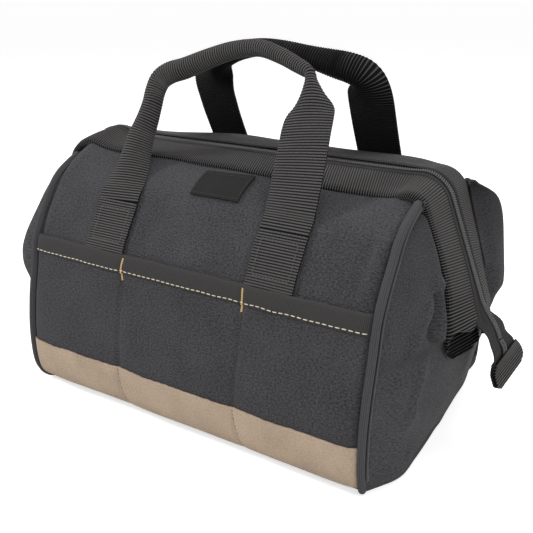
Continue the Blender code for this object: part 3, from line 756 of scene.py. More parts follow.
def lay_cord(name, points, radius, around=12, step=0.0015):
    """Roll a grid into a cord along a smooth path, closed at both ends."""
    rough = np.linalg.norm(np.diff(np.array(points, float), axis=0), axis=1).sum()
    rows = max(int(rough / step), 8)
    path, long = even_path(points, rows + 1)
    tangent = np.gradient(path, axis=0)
    tangent /= np.linalg.norm(tangent, axis=1, keepdims=True)
    normal = np.empty_like(tangent)
    start = np.cross(tangent[0], (0.31, 0.52, 0.79))
    normal[0] = start / np.linalg.norm(start)
    for n in range(1, len(path)):
        turned = normal[n - 1] - tangent[n] * normal[n - 1].dot(tangent[n])
        normal[n] = turned / np.linalg.norm(turned)
    across = np.cross(tangent, normal)

    def place(u, v):
        j = np.rint(v * rows).astype(int)
        turn = u * 2 * math.pi
        ends = np.minimum(np.minimum(j, rows - j) * long / rows / radius, 1)
        wide = radius * np.sqrt(np.clip(1 - (1 - ends) ** 2, 0, 1))
        spot = (path[j] + normal[j] * (np.cos(turn) * wide)[..., None]
                + across[j] * (np.sin(turn) * wide)[..., None])
        return spot[..., 0], spot[..., 1], spot[..., 2]
    piece = lay_cloth(name, around, rows, place, width=2 * math.pi * radius, long=long)
    return weld(piece)


def stitch_shape(long, wide, high, segments=8, rings=5):
    """Model one stitch: a rounded grain lying along x. Gives its points and faces."""
    bpy.ops.object.select_all(action="DESELECT")
    bpy.ops.mesh.primitive_uv_sphere_add(segments=segments, ring_count=rings, radius=0.5)
    grain = bpy.context.object
    spots = np.array([v.co for v in grain.data.vertices])
    spots = spots[:, [2, 0, 1]]
    spots[:, 0] = np.sign(spots[:, 0]) * np.abs(2 * spots[:, 0]) ** 0.7 / 2
    faces = [tuple(face.vertices) for face in grain.data.polygons]
    bpy.data.objects.remove(grain, do_unlink=True)
    return spots * (long, wide, high), faces


def copies(name, shape, places, alongs, ups):
    """One mesh that holds a copy of the shape at each place, turned to lie along."""
    spots, faces = shape
    places, alongs, ups = (np.asarray(a, dtype=float).reshape(-1, 3)
                           for a in (places, alongs, ups))
    alongs = alongs / np.linalg.norm(alongs, axis=1, keepdims=True)
    ups = ups - alongs * (ups * alongs).sum(axis=1, keepdims=True)
    ups = ups / np.linalg.norm(ups, axis=1, keepdims=True)
    sides = np.cross(ups, alongs)
    laid = (places[:, None] + alongs[:, None] * spots[None, :, :1]
            + sides[:, None] * spots[None, :, 1:2] + ups[:, None] * spots[None, :, 2:])
    count = len(spots)
    every = [tuple(n * count + corner for corner in face)
             for n in range(len(places)) for face in faces]
    mesh = bpy.data.meshes.new(name)
    mesh.from_pydata(laid.reshape(-1, 3).tolist(), [], every)
    mesh.update()
    return weld(add_piece(name, mesh), distance=1e-7)


def stitch_line(points, pitch):
    """Even places along a path, with the direction there."""
    points = np.asarray(points, dtype=float)
    arc = np.concatenate(([0], np.cumsum(np.linalg.norm(np.diff(points, axis=0), axis=1))))
    count = max(int(arc[-1] / pitch), 1)
    middle = (np.arange(count) + 0.5) * arc[-1] / count
    spot = np.stack([np.interp(middle, arc, c) for c in points.T], axis=1)
    near = np.stack([np.interp(middle - pitch / 3, arc, c) for c in points.T], axis=1)
    far = np.stack([np.interp(middle + pitch / 3, arc, c) for c in points.T], axis=1)
    return spot, far - near


def blend_line(side):
    """The start and end points of a line up the middle of a wall, from the pockets' edge to the straps'
    stitch row.
    """
    return (0, side * 0.098, 0.126), (0, side * 0.0716, 0.1564)


def finish(piece, look, slot, body=None, replaces=(), side=None, sharp=60):
    """Give a piece its look and the nodes that it stands for, and tie it to the body it moves with
    where a body is given; a piece given a side is baked in place and tied to no body.
    """
    piece.data.materials.clear()
    piece.data.materials.append(LOOKS[look])
    piece.data.shade_smooth()
    piece.data.set_sharp_from_angle(angle=math.radians(sharp))
    if side:
        jaw = "front_jaw" if side == FRONT else "back_jaw"
        start, end = blend_line(side)
        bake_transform(piece)
    else:
        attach(piece, body)
    if replaces:
        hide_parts(*replaces)
    return piece


def points_of(place):
    """A place's three arrays as a list of points."""
    return np.stack(np.broadcast_arrays(*place), axis=-1)


def sheet(name, columns, rows, place, thickness, look, slot, relief=None, width=None, long=None,
          **ties):
    """Lay out one piece of cloth, thicken it and finish it."""
    piece = lay_cloth(name, columns, rows, place, relief, width, long)
    return finish(thicken(piece, thickness), look, slot, **ties)


def webbing_strip(name, columns, rows, place, thickness, width, long, **ties):
    """A strip of ribbed webbing."""
    mouth = lines().mouth
    return sheet(name, columns, rows, place, thickness, "webbing", "ribbed_webbing",
                 lambda u, v: ribs(v * long, mouth.rib_pitch, mouth.rib_height), width, long,
                 **ties)


def sew(name, shape, rows, ups, look, slot="ribbed_webbing", **ties):
    """Sew rows of stitches, each given by its places and the directions there."""
    places, alongs = (np.concatenate([row[n] for row in rows]) for n in (0, 1))
    return finish(copies(name, stitch_shape(*shape), places, alongs, ups), look, slot, **ties)


# Operators

class FinishesMaker(bpy.types.Operator):
    """Make the materials of the bag"""
    bl_idname = "bag.finishes"
    bl_label = "Finishes"

    def execute(self, context):
        colours = sizes("bag_colours")
        pitch = sizes("bag_mouth").rib_pitch
        cloth, webbing, tan = (tuple(c) for c in (colours.cloth, colours.webbing, colours.tan))
        coil, cream, amber = (tuple(c) for c in (colours.coil, colours.cream, colours.amber))
        looks = {
            "cloth": woven_cloth("body cloth", cloth),
            "tan": woven_cloth("tan cloth", tan, contrast=0.5),
            # Both webbing looks paint their grooves dark as shade and their crests bright as highlight
            "webbing": ribbed_webbing("ribbed webbing", webbing, pitch, 7.0, 0.12, 3.9),
            # The band's look is the same webbing painted darker, as shade, against the top lamp on its
            # upturned face
            "band": ribbed_webbing("band webbing", webbing, pitch, 9.0, 0.03, 3.7),
            "tape": flat_tape("zip tape", shade(webbing, 0.85)),
            "binding": flat_tape("pocket binding", shade(webbing, 1.25)),
            "label": flat_tape("label weave", shade(webbing, 0.6), 0.0007),
            "seam_cloth": flat_tape("seam cloth", shade(cloth, 1.2), 0.0013),
            "coil": grained("nylon coil", shade(coil, 0.8), shade(coil, 1.3), 300.0,
                            gloss=(0.28, 0.48), roughness=0.36),
            "cream": thread("cream thread", cream),
            "amber": thread("amber thread", amber),
            "tan_thread": thread("tan thread", shade(tan, 1.15)),
            # Near-black thread for the real stitches; the same look paints the shadow cords beside the
            # piping
            "black_thread": thread("black thread", (0.01, 0.01, 0.0105)),
            "dark_thread": thread("dark thread", (0.085, 0.083, 0.082)),
            "paint": grained("black paint", (0.012, 0.012, 0.012), (0.035, 0.035, 0.036), 500.0,
                             4.0, (1.0, 4.0, 1.0), (0.22, 0.52), 0.00004, roughness=0.35,
                             Coat_Weight=0.3, Coat_Roughness=0.25),
            "steel": grained("drawn steel", (0.36, 0.36, 0.37), (0.55, 0.55, 0.56), 400.0,
                             stretch=(0.4, 6.0, 6.0), gloss=(0.25, 0.5), roughness=0.35,
                             metallic=1.0),
            "board": flecked_board("grey board", 0.055, 0.13),
            "cord": flecked_board("filler cord", 0.014, 0.036),
        }
        LOOKS.update((name, look.material) for name, look in looks.items())
        return {"FINISHED"}


WIRE_END = 0.026              # how much sooner a wire ends than its band


class InnerPartsMaker(bpy.types.Operator):
    """Finish the parts inside: the board and the frame wires"""
    bl_idname = "bag.inner_parts"
    bl_label = "Inner Parts"

    def execute(self, context):
        board = frame["nodes"]["base_board"]
        board.data.materials.clear()
        board.data.materials.append(LOOKS["board"])
        bag = lines()
        reach = bag.half_zip - WIRE_END
        ats = np.linspace(-reach, reach, 160)
        for name, side in SIDES.items():
            wire = bag.jaw(side, ats, bag.fold_across, bag.fold_depth, FRAME)
            piece = lay_cord(name + "_wire", points_of(wire), 0.0016, step=0.003)
            finish(piece, "steel", "frame_steel", name + "_jaw", (name + "_frame_wire",))
        return {"FINISHED"}


# Heights, and how far an end stands out there at five even shares from the piping inwards.
END_TABLES = {
    FRONT: [(2, 0, 12, 12.3, 11, 9.5), (6, 0, 12.5, 13, 12.2, 11), (30, 0, 12, 15.5, 17.5, 17.5),
            (60, 0, 11, 18, 22, 23), (83, 0, 10.5, 18, 23, 23), (105, 0, 9.5, 14, 19.5, 26),
            (130, 0, 5.5, 11, 16.5, 22), (155, 0, 3.8, 7.8, 11.6, 15.5),
            (180, 0, 1.2, 2.5, 3.8, 5)],
    BACK: [(2, 0, 4, 5.5, 7.5, 9.5), (6, 0, 5, 7, 9, 11), (30, 0, 8, 12.5, 15.5, 17.5),
           (60, 0, 12, 20, 23, 23), (83, 0, 15, 25, 26, 23), (105, 0, 15, 25, 28, 25),
           (130, 0, 15, 24.5, 24.5, 17), (155, 0, 15, 24.5, 21, 9.5),
           (170, 0, 12.5, 21, 17.5, 5), (178, 0, 8.5, 15, 12, 3), (184, 0, 4, 7.5, 5.5, 1),
           (190, 0, 0.5, 1, 0.5, 0)]}
# How much further the front half of the left end stands out, by the height.
LEFT_BULGE = line_of([(30, 0), (60, 2), (75, 8), (90, 17.2), (105, 22), (120, 20), (135, 17.2),
                      (150, 13), (165, 8.5), (185, 4)], MM, MM)
# Folds of the ends by distance from the middle plane and height: path, width, height and fade.
END_FOLDS = {
    FRONT: [([(47, 142), (53, 132), (62, 120), (72, 106), (82, 88)], 3.6, 4, 0.1),
            ([(56, 104), (64, 70), (80, 30)], 5, 3), ([(90, 85), (78, 55), (55, 35)], 6, 2),
            ([(75, 20), (50, 12)], 6, 1.6)],
    BACK: [([(54, 122), (52, 90)], 6.5, -7), ([(80, 125), (72, 80), (60, 45)], 7, 2)]}
ARM_HOLLOW = [(50, 136), (51.5, 124), (53, 108), (56, 94)], 5, -12
END_FOOT = 0.0022             # height of the ends' lower edge
END_INNER = 0.0466            # where the ends' cloth goes under the arms' folded edges
FLOOR_Z = 0.003               # height where the ends meet the base


def end_stand(side, share, z):
    """How far an end stands out past its seam, by its share from the piping inwards."""
    table = np.array(END_TABLES[side])
    columns = [line_of(table[:, [0, n]], MM, MM)(z) for n in range(1, 6)]
    slopes = [columns[1] - columns[0]]
    slopes += [(after - before) / 2 for before, after in zip(columns, columns[2:])]
    slopes.append(0 * columns[4])
    place = 4 * np.clip(share, 0, 1) + 0 * z
    steps = np.clip(np.floor(place), 0, 3)
    return sum((steps == n) * hermite(place - n, columns[n], columns[n + 1], slopes[n],
                                      slopes[n + 1]) for n in range(4))


def end_inner(z):
    return END_INNER * ease(0.082, 0.1, z)


def end_outer(z):
    return lines().reach(z) - 0.0012


def end_point(side, end, share, z):
    bag = lines()
    z = z + bag.raise_top(side, end * bag.body.seam_x) * ease(WALL_RISE_START, bag.top_z, z)
    y = mix(end_outer(bag.lowered(side, end * bag.body.seam_x, z)), end_inner(z), share)
    x = bag.seam(end, z) + end_stand(side, share, z)
    if side == FRONT and end == LEFT:
        x = x + LEFT_BULGE(z) * ease(0, 0.09, share) * (1 - share)
    soft = ease(0, 0.15, share) * ease(0, 0.15, 1 - share)
    x = x - seam_dip(0.003, y - end_outer(z)) * ease(0.02, 0.03, z)
    x = x + 0.001 * soft * ripple(50 + 7 * side + 3 * end, 0.055, y * side, z)
    x = x + folds(END_FOLDS[side], y, z)
    if side == FRONT:
        x = x + fold(*ARM_HOLLOW, y, z, 0.2) * ease(0.0, 0.006, y - end_inner(z))
    return end * x, side * y, z + 0 * x


class EndsMaker(bpy.types.Operator):
    """Make the ends' cloth, in a front and a back half"""
    bl_idname = "bag.ends"
    bl_label = "Ends"

    def execute(self, context):
        bag = lines()
        for name, end in ENDS.items():
            for side_name, side in SIDES.items():
                sheet(f"{side_name}_{name}_end_cloth", 60, 110,
                      lambda u, v: end_point(side, end, u, mix(END_FOOT, bag.top_z, v)),
                      bag.body.cloth, "cloth", "body_fabric", side=side,
                      replaces=(f"{name}_lower_gusset", f"{side_name}_{name}_upper_gusset"))
        return {"FINISHED"}


class PipingMaker(bpy.types.Operator):
    """Make the covered cord on the end seams, with near-black cords beside it as painted seam shadow"""
    bl_idname = "bag.piping"
    bl_label = "Piping"

    def execute(self, context):
        for name, end in ENDS.items():
            for side_name, side in SIDES.items():
                path = self.path(side, end)
                piece = lay_cord(f"{side_name}_{name}_piping_cord", path, lines().body.piping)
                finish(piece, "seam_cloth", "piping", side=side,
                       replaces=(f"{name}_piping", f"{side_name}_{name}_upper_piping"))
                # Near-black cords on the end's side and the wall's side of the piping: painted shadow
                # in the seam grooves
                for label, out, back in (("end", 0.0026, 0.003), ("wall", -0.0024, 0.0004)):
                    points = [(x + end * out, y - side * back, z) for x, y, z in path[:30]]
                    piece = lay_cord(f"{side_name}_{name}_{label}_seam_thread", points, 0.001, 8)
                    finish(piece, "black_thread", "piping", side=side)
        return {"FINISHED"}

    def path(self, side, end):
        """Down the seam, round the corner at the floor and along the end's foot."""
        bag = lines()
        seam = end * bag.body.seam_x
        top = bag.top_z - 0.0005 + float(bag.raise_top(side, seam))
        points = [(end * (bag.seam(end, z) + 0.0008),
                   side * (bag.reach(bag.lowered(side, seam, z)) + 0.0006), z)
                  for z in np.linspace(top, 0.0135, 30)]
        bend, bend_z = 0.0095, 0.0122
        for turn in np.radians(np.linspace(8, 90, 8)):
            y = bag.reach(0.0125) + 0.0002 - bend * (1 - math.cos(turn))
            z = bend_z - bend * math.sin(turn)
            share = max(1 - y / end_outer(0.004), 0.0)
            points.append((end * (bag.seam(end, z) + 0.0006
                                  + float(end_stand(side, share, FLOOR_Z))), side * y, z))
        corner_y, floor_z = abs(points[-1][1]), points[-1][2]
        for share in np.linspace(0.12, 1.02, 12):
            out = float(end_stand(side, share, FLOOR_Z)) + float(bag.seam(end, FLOOR_Z))
            points.append((end * (out + 0.0006), side * corner_y * (1 - share), floor_z))
        return points


class BaseMaker(bpy.types.Operator):
    """Make the base cloth, turned up a little along the walls"""
    bl_idname = "bag.base"
    bl_label = "Base"

    def execute(self, context):
        bag = lines()
        edge = bag.body.base_half
        section = [(-edge - 0.0036, 0.0064), (-edge - 0.0026, 0.0035), (-edge + 0.0004, 0.0015),
                   (-edge + 0.006, 0.0008), (0.0, 0.0008)]
        section += [(-y, z) for y, z in reversed(section[:-1])]
        outline = outline_of(section, 200)[0]

        def place(u, v):
            y, z = outline(v)
            share = 1 - np.minimum(np.abs(y) / (edge - 0.005), 1)
            floor = FLOOR_Z + 0 * y
            out = np.where(y < 0, end_stand(FRONT, share, floor),
                           end_stand(BACK, share, floor)) - 0.0022
            x = mix(-bag.seam(LEFT, FLOOR_Z) - out, bag.seam(RIGHT, FLOOR_Z) + out, u)
            lift = 0.0005 * ripple(5, 0.05, x, y) * ease(0.0015, 0.004, z)
            return x, y + np.sign(y) * lift, z + lift
        sheet("base_cloth", 120, 200, place, 0.0014, "cloth", "body_fabric", body="bag_body",
              replaces=("base_fabric",))
        return {"FINISHED"}


# Folds of the walls by place and height, written as the ends' folds are.
WALL_FOLDS = [([(147, 172), (143, 150), (140, 126)], 5, 2), ([(137, 170), (133, 128)], 5, -1.4),
              ([(-146, 165), (-141, 128)], 6, 1.4),
              ([(-30, 176), (-35, 150), (-45, 130)], 9, -1), ([(32, 160), (20, 130)], 10, 1)]
BACK_CORNER_FOLD = [(95, 178), (140, 176)], 14, 6


def wall_folds(side, x, z):
    """Soft folds of a wall above the pockets: how far they stand out."""
    waves = 0.0008 * ripple(21 + side, 0.07, x, z * 1.6) + folds(WALL_FOLDS, x, z)
    if side == BACK:
        waves = waves + fold(*BACK_CORNER_FOLD, x, z)
    seams = ease(0, 0.012, sizes("bag_body").seam_x - np.abs(x))
    return ease(0.12, 0.135, z) * seams * waves


class WallsMaker(bpy.types.Operator):
    """Make the front and back walls"""
    bl_idname = "bag.walls"
    bl_label = "Walls"

    def execute(self, context):
        bag = lines()
        for name, side in SIDES.items():
            def place(u, v):
                x = bag.across(u, mix(0.003, bag.top_z, v), 0.0005)
                z = mix(0.003, bag.top_z + bag.raise_top(side, x), v)
                sunk = seam_dip(0.003, bag.body.seam_x - np.abs(x))
                return bag.wall(side, x, z, -0.0008 + wall_folds(side, x, z) - sunk)
            sheet(name + "_wall_cloth", 170, 110, place, bag.body.cloth, "cloth", "body_fabric",
                  side=side, replaces=(name + "_lower_panel", name + "_upper_panel"))
        return {"FINISHED"}


class PocketsMaker(bpy.types.Operator):
    """Make the outside pockets, three on each face"""
    bl_idname = "bag.pockets"
    bl_label = "Pockets"

    def execute(self, context):
        bag = lines()
        for name, side in SIDES.items():
            def place(u, v):
                z = mix(0.0042, bag.body.pocket_height - 0.0008, v)
                return bag.pocket(side, bag.across(u, z, 0.0015), z, -0.0006)
            sheet(name + "_pocket_cloth", 220, 90, place, 0.0012, "cloth", "body_fabric",
                  body="bag_body", replaces=(name + "_pocket_panel",))
        return {"FINISHED"}


class PocketTrimMaker(bpy.types.Operator):
    """Make the binding along the pockets' tops and the tan strip along their foot"""
    bl_idname = "bag.pocket_trim"
    bl_label = "Pocket Trim"

    def execute(self, context):
        bag = lines()
        body = bag.body
        half = body.seam_x - 0.0012
        top, foot = body.pocket_height, body.pocket_height - body.binding_height
        binding = [(0.0006, foot), (0.0009, foot + 0.0006), (0.0009, top - 0.001),
                   (0.0006, top + 0.0002), (-0.0004, top + 0.0007), (-0.0014, top + 0.0002),
                   (-0.0021, top - 0.0012), (-0.0021, top - 0.006)]
        strip = [(0.0002, body.tan_foot + 0.0004), (0.0012, body.tan_foot),
                 (0.0013, body.tan_foot + 0.0014), (0.0012, body.tan_top - 0.0014),
                 (0.0012, body.tan_top), (0.0001, body.tan_top - 0.0002)]
        for name, side in SIDES.items():
            for label, section, look, slot, node, seed in (
                    ("binding_tape", binding, "binding", "ribbed_webbing", "_pocket_binding", 3),
                    ("tan_strip", strip, "tan", "tan_fabric", "_tan_band", 9)):
                outline = outline_of(section, 60)[0]

                def place(u, v):
                    out, z = outline(v)
                    x = bag.across(u, z, 0.0012)
                    wave = (0.0005 * ripple(seed + side, 0.035, x)
                            + 0.00025 * ripple(seed + 20 + side, 0.009, x))
                    return bag.pocket(side, x, z + wave * ease(0, 0.03, half - np.abs(x)), out)
                sheet(f"{name}_{label}", 240, 60, place, 0.0009, look, slot, body="bag_body",
                      replaces=(name + node,))
        return {"FINISHED"}


def pocket_row(side, xs, zs, out):
    """A path over the pockets' face, out from it."""
    return points_of(lines().pocket(side, xs, zs, out))


class PocketStitchesMaker(bpy.types.Operator):
    """Sew the pockets: cream along the binding, bartacks at its seams, dark and tan rows below"""
    bl_idname = "bag.pocket_stitches"
    bl_label = "Pocket Stitches"

    def execute(self, context):
        bag = lines()
        body = bag.body
        half = body.seam_x
        xs = np.linspace(-half, half, 400)
        rows = [
            ("cream_stitches", "cream", body.pocket_height - 0.0104, 0.0046, 0.0034, 0.00085,
             0.0015),
            ("tan_top_stitches", "tan_thread", body.tan_top - 0.0026, 0.003, 0.0023, 0.0005,
             0.0018),
            ("tan_foot_stitches", "tan_thread", body.tan_foot + 0.0022, 0.003, 0.0023, 0.0005,
             0.0018),
        ]
        for name, side in SIDES.items():
            for label, look, z, pitch, dash, thick, lift in rows:
                spread = bag.across((xs + half) / (2 * half), z, 0.0035)
                path = pocket_row(side, spread, z + 0.0003 * ripple(41 + side, 0.03, xs), lift)
                sew(f"{name}_{label}", (dash, thick, thick * 0.8), [stitch_line(path, pitch)],
                    (0, side, 0), look, body="bag_body")
            self.sew_seams(name, side)
        return {"FINISHED"}

    def sew_seams(self, name, side):
        body = lines().body
        rim = body.pocket_height - body.binding_height
        seams, tacks = [], []
        for end in (LEFT, RIGHT):
            zs = np.linspace(rim - 0.004, body.tan_foot + 0.001, 120)
            xs = end * body.divider_x + divider_at(side, zs)
            lift = 0.0003 + 0.0013 * (1 - ease(body.tan_top - 0.001, body.tan_top + 0.001, zs))
            seams.append(stitch_line(pocket_row(side, xs, zs, lift), 0.003))
            zs = np.linspace(body.pocket_height - 0.0015, body.pocket_height - 0.0175, 22)
            bow = end * 0.0009 * np.sin(np.linspace(0, math.pi, len(zs)))
            lift = 0.0004 + 0.0011 * ease(rim - 0.001, rim, zs)
            slant = np.where(np.arange(len(zs)) % 2, 0.4, -0.4)
            tacks.append((pocket_row(side, end * body.divider_x + bow, zs, lift),
                          np.stack((1 + 0 * zs, 0 * zs, slant), axis=1)))
        for label, look, rows, shape in (
                ("_seam_stitches", "black_thread", seams, (0.0025, 0.001, 0.0005)),
                ("_bartacks", "amber", tacks, (0.0019, 0.0008, 0.0006))):
            sew(name + label, shape, rows, (0, side, 0), look, body="bag_body")


def ribs(at, pitch, height):
    """Rounded ribs across webbing at a length along it."""
    return height * (np.abs(np.sin(at * math.pi / pitch)) - 0.64)


RIB_STEPS = 4                 # steps of the mesh along each rib


def band_end(u):
    """How much sooner the band's face ends than its lining, by the share across the webbing."""
    face = mix(0.014, 0.0205, np.clip(u / 0.43, 0, 1)) + 0.0008 * np.sin(u * 23)
    lining = 0.0015 + 0.011 * (1 - ease(0.5, 0.66, u)) + 0.003 * ease(0.85, 1, u)
    return mix(face, lining, ease(0.45, 0.53, u))


# How far the rows of ribs slip for each metre across, by the place along the zip.
BAND_SKEW = {
    FRONT: line_of([(-272, 0.15), (-180, 0.2), (-120, 0.32), (100, 0.32), (150, 0.1),
                    (200, -0.15), (272, -0.18)], MM),
    BACK: line_of([(-272, 0), (60, 0.1), (125, 0.42), (165, 0.42), (215, 0.15), (272, 0.12)],
                  MM),
}


def band_skew(side, at, across):
    """How far the rows of ribs slip along the band towards its outer edge."""
    fade = ease(0, 0.04, lines().half_zip - np.abs(at))
    return BAND_SKEW[side](at) * fade * across


class MouthBandsMaker(bpy.types.Operator):
    """Make the webbing folded round the frame of each jaw"""
    bl_idname = "bag.mouth_bands"
    bl_label = "Mouth Bands"

    def execute(self, context):
        bag = lines()
        mouth = bag.mouth
        half = mouth.webbing / 2
        lining = -0.0042
        section = [(mouth.band_start, -half), (mouth.band_start + 0.006, -half + 0.0001),
                   (mouth.band_start + 0.02, -half + 0.0004), (bag.fold_across - 0.001, -half),
                   (bag.fold_across + 0.002, -half - 0.0001),
                   (bag.fold_across + 0.0033, -half - 0.001)]
        for turn in np.radians((0, -30, -60)):
            section.append((bag.fold_across + mouth.fold_radius * math.cos(turn),
                            bag.fold_depth + mouth.fold_radius * math.sin(turn)))
        section += [(bag.fold_across - 0.001, bag.fold_depth - mouth.fold_radius),
                    (0.03, lining - 0.0022), (0.02, lining - 0.0006),
                    (mouth.band_start + 0.001, lining)]
        columns = 34
        outline, wide = outline_of(section, columns)
        pitch = mouth.rib_pitch
        count = round(2 * bag.half_zip / pitch)
        for name, side in SIDES.items():
            def place(u, v):
                across, depth = outline(u)
                inner = ease(0.52, 0.66, u)
                at = (2 * v - 1) * bag.half_zip
                at = at + band_skew(side, at, np.minimum(u * wide, bag.fold_across))
                arm = np.maximum(np.abs(at) - (bag.half_zip - 0.03), 0) / 0.03
                at = np.clip(at, band_end(u) - bag.half_zip, bag.half_zip - band_end(u))
                sag = 0.0035 * inner * arm**3
                face = bag.jaw(side, at, across, depth)
                frame = bag.jaw(side, at, across, depth - sag, FRAME)
                hidden = ease(0.47, 0.56, u)
                return tuple(mix(a, b, hidden) for a, b in zip(face, frame))

            def relief(u, v):
                soft = 0.0004 * ripple(61 + side, 0.07, v * count * pitch, u * wide)
                ribbed = ease(0.035, 0.055, u) * (1 - 0.95 * ease(0.39, 0.44, u) * (u < 0.58))
                return (ribs(v * count * pitch, pitch, 1.5 * mouth.rib_height) * ribbed
                        + soft * ease(0, 0.1, u))
            piece = lay_cloth(name + "_band_webbing", columns, count * RIB_STEPS, place, relief,
                              wide, count * pitch)
            weld(piece)
            thicken(piece, mouth.webbing)
            finish(piece, "band", "ribbed_webbing", name + "_jaw", (name + "_mouth_band",))
            self.edge_strip(name, side)
            self.sew_edge(name, side)
        return {"FINISHED"}

    def edge_strip(self, name, side):
        """The plain selvedge of the webbing beside the zip."""
        bag = lines()
        reach = bag.half_zip - 0.0155

        def place(u, v):
            across = mix(bag.mouth.band_start - 0.0004, bag.mouth.band_start + 0.004, u)
            lift = 0.0005 - 0.0007 * np.abs(2 * u - 1) ** 4
            return bag.jaw(side, (2 * v - 1) * reach, across, lift)
        sheet(name + "_band_selvedge", 8, 420, place, 0.0006, "tape", "ribbed_webbing",
              body=name + "_jaw")

    def sew_edge(self, name, side):
        """A row of stitches along the band's edge beside the zip."""
        bag = lines()
        pitch = 0.0028
        count = int(2 * (bag.half_zip - 0.018) / pitch)
        ats = (np.arange(count) - (count - 1) / 2) * pitch
        across = bag.mouth.band_start + 0.0028
        low, high = (points_of(bag.jaw(side, ats, across, depth)) for depth in (0.0008, 0.0018))
        after = points_of(bag.jaw(side, ats + pitch / 2, across, 0.0008))
        sew(name + "_band_stitches", (0.0021, 0.0005, 0.0004), [(low, after - low)], high - low,
            "black_thread", body=name + "_jaw")


COIL_TURN = 0.0034, 0.00125, 0.0018, 8, 6      # length, width, height, segments and rings


def tape_flare(at):
    """How far the tapes have spread and come out at the arms' ends, from 0 to 1."""
    half = lines().half_zip
    return ease(half - 0.032, half - 0.004, np.abs(at))


class ZipMaker(bpy.types.Operator):
    """Make the zip's tapes and its two rows of coil"""
    bl_idname = "bag.zip"
    bl_label = "Zip"

    def execute(self, context):
        bag = lines()
        pitch = bag.mouth.coil_pitch
        section = line_of([(0, 0.3), (0.3, 4.5), (0.5, 7.5), (1, 13.5)], 1, MM)
        count = int(2 * bag.half_zip / pitch)
        for name, side in SIDES.items():
            def place(u, v):
                across, at = section(u), (2 * v - 1) * bag.half_zip
                below = tape_flare(at)
                across = across * (1 + 0.2 * below)
                depth = bag.chain(at) - 0.0006
                flat = bag.jaw(side, at, across, depth + 0.005 * below, FLAT)
                under = bag.jaw(side, at, across, mix(-0.0016, 0.003, below))
                share = ease(0.0035, 0.0078, across) * (1 - ease(0.5, 1, below))
                return tuple(mix(a, b, share) for a, b in zip(flat, under))
            sheet(name + "_tape", 16, 420, place, 0.0007, "tape", "zip_tape", body=name + "_jaw",
                  replaces=(name + "_zip_tape",))

            ats = (np.arange(count) + 0.5 + 0.25 * side) * pitch - bag.half_zip
            raised = bag.chain(ats) + 0.005 * tape_flare(ats)
            middle, low, high = (
                points_of(bag.jaw(side, ats, across, raised + depth, FLAT))
                for across, depth in ((0.0015, 0.0004), (0.0, 0.0), (0.0, 0.001)))
            outward = np.tile((0.0, side, 0.0), (count, 1))
            slant = np.cross(high - low, outward) / 0.001 * 0.16
            sew(name + "_coil", COIL_TURN, [(middle, outward + slant)], high - low, "coil",
                "zip_coil", body=name + "_jaw", replaces=(name + "_zip_chain",))
        return {"FINISHED"}


class TailsMaker(bpy.types.Operator):
    """Make the zip's tails below the arms, with their folded tabs"""
    bl_idname = "bag.tails"
    bl_label = "Tails"

    def execute(self, context):
        for name, end in ENDS.items():
            self.make_tape(name, end)
            self.make_tab(name, end)
        return {"FINISHED"}

    def make_tape(self, name, end):
        bag = lines()
        depth = -0.0012
        pitch = bag.mouth.coil_pitch

        def tape(u, v):
            wide = mix(0.0158, 0.015, ease(0, 1, v))
            sag = 0.0008 * np.sin(v * math.pi) * (np.abs(2 * u - 1) - 0.5)
            return bag.tail(end, (2 * u - 1) * wide, mix(-0.0015, 0.0205, v),
                            depth - 0.0004 + sag)
        sheet(name + "_tail_tape", 24, 30, tape, 0.0009, "tape", "zip_tape",
              body=name + "_tail", replaces=(name + "_zip_tail",))

        rows, ups = [], []
        for side in (FRONT, BACK):
            belows = np.arange(0.0012, 0.015, pitch) + 0.25 * (side + 1) * pitch
            place, above = (points_of(bag.tail(end, side * 0.0016, belows, depth + lift))
                            for lift in (0.0007, 0.0017))
            rows.append((place, np.tile((0, side, 0.1), (len(belows), 1))))
            ups.append(above - place)
        sew(name + "_tail_coil", COIL_TURN, rows, np.concatenate(ups), "coil", "zip_coil",
            body=name + "_tail")

    def make_tab(self, name, end):
        bag = lines()
        section = MM * np.array([
            (12.8, 1.7), (16, 1.5), (24, 1.3), (30, 1.2), (31.9, 0.6), (32.2, 0),
            (31.9, -0.7), (30, -1.2), (22, -1.3), (12.5, -1.3)])
        outline, around = outline_of(section, 80)

        def tab(u, v):
            below, out = outline(v)
            wide = mix(0.015, 0.0162, ease(0.0128, 0.02, below))
            wide = wide - 0.004 * ease(0.0262, 0.033, below) ** 2
            return bag.tail(end, (2 * u - 1) * wide, below, out - 0.0012)
        webbing_strip(name + "_tab_webbing", 30, 80, tab, 0.0013, 0.032, around,
                      body=name + "_tail", replaces=(name + "_zip_tab",))


GRIP_OPENING = 0.06           # share of the rolled grip left open underneath
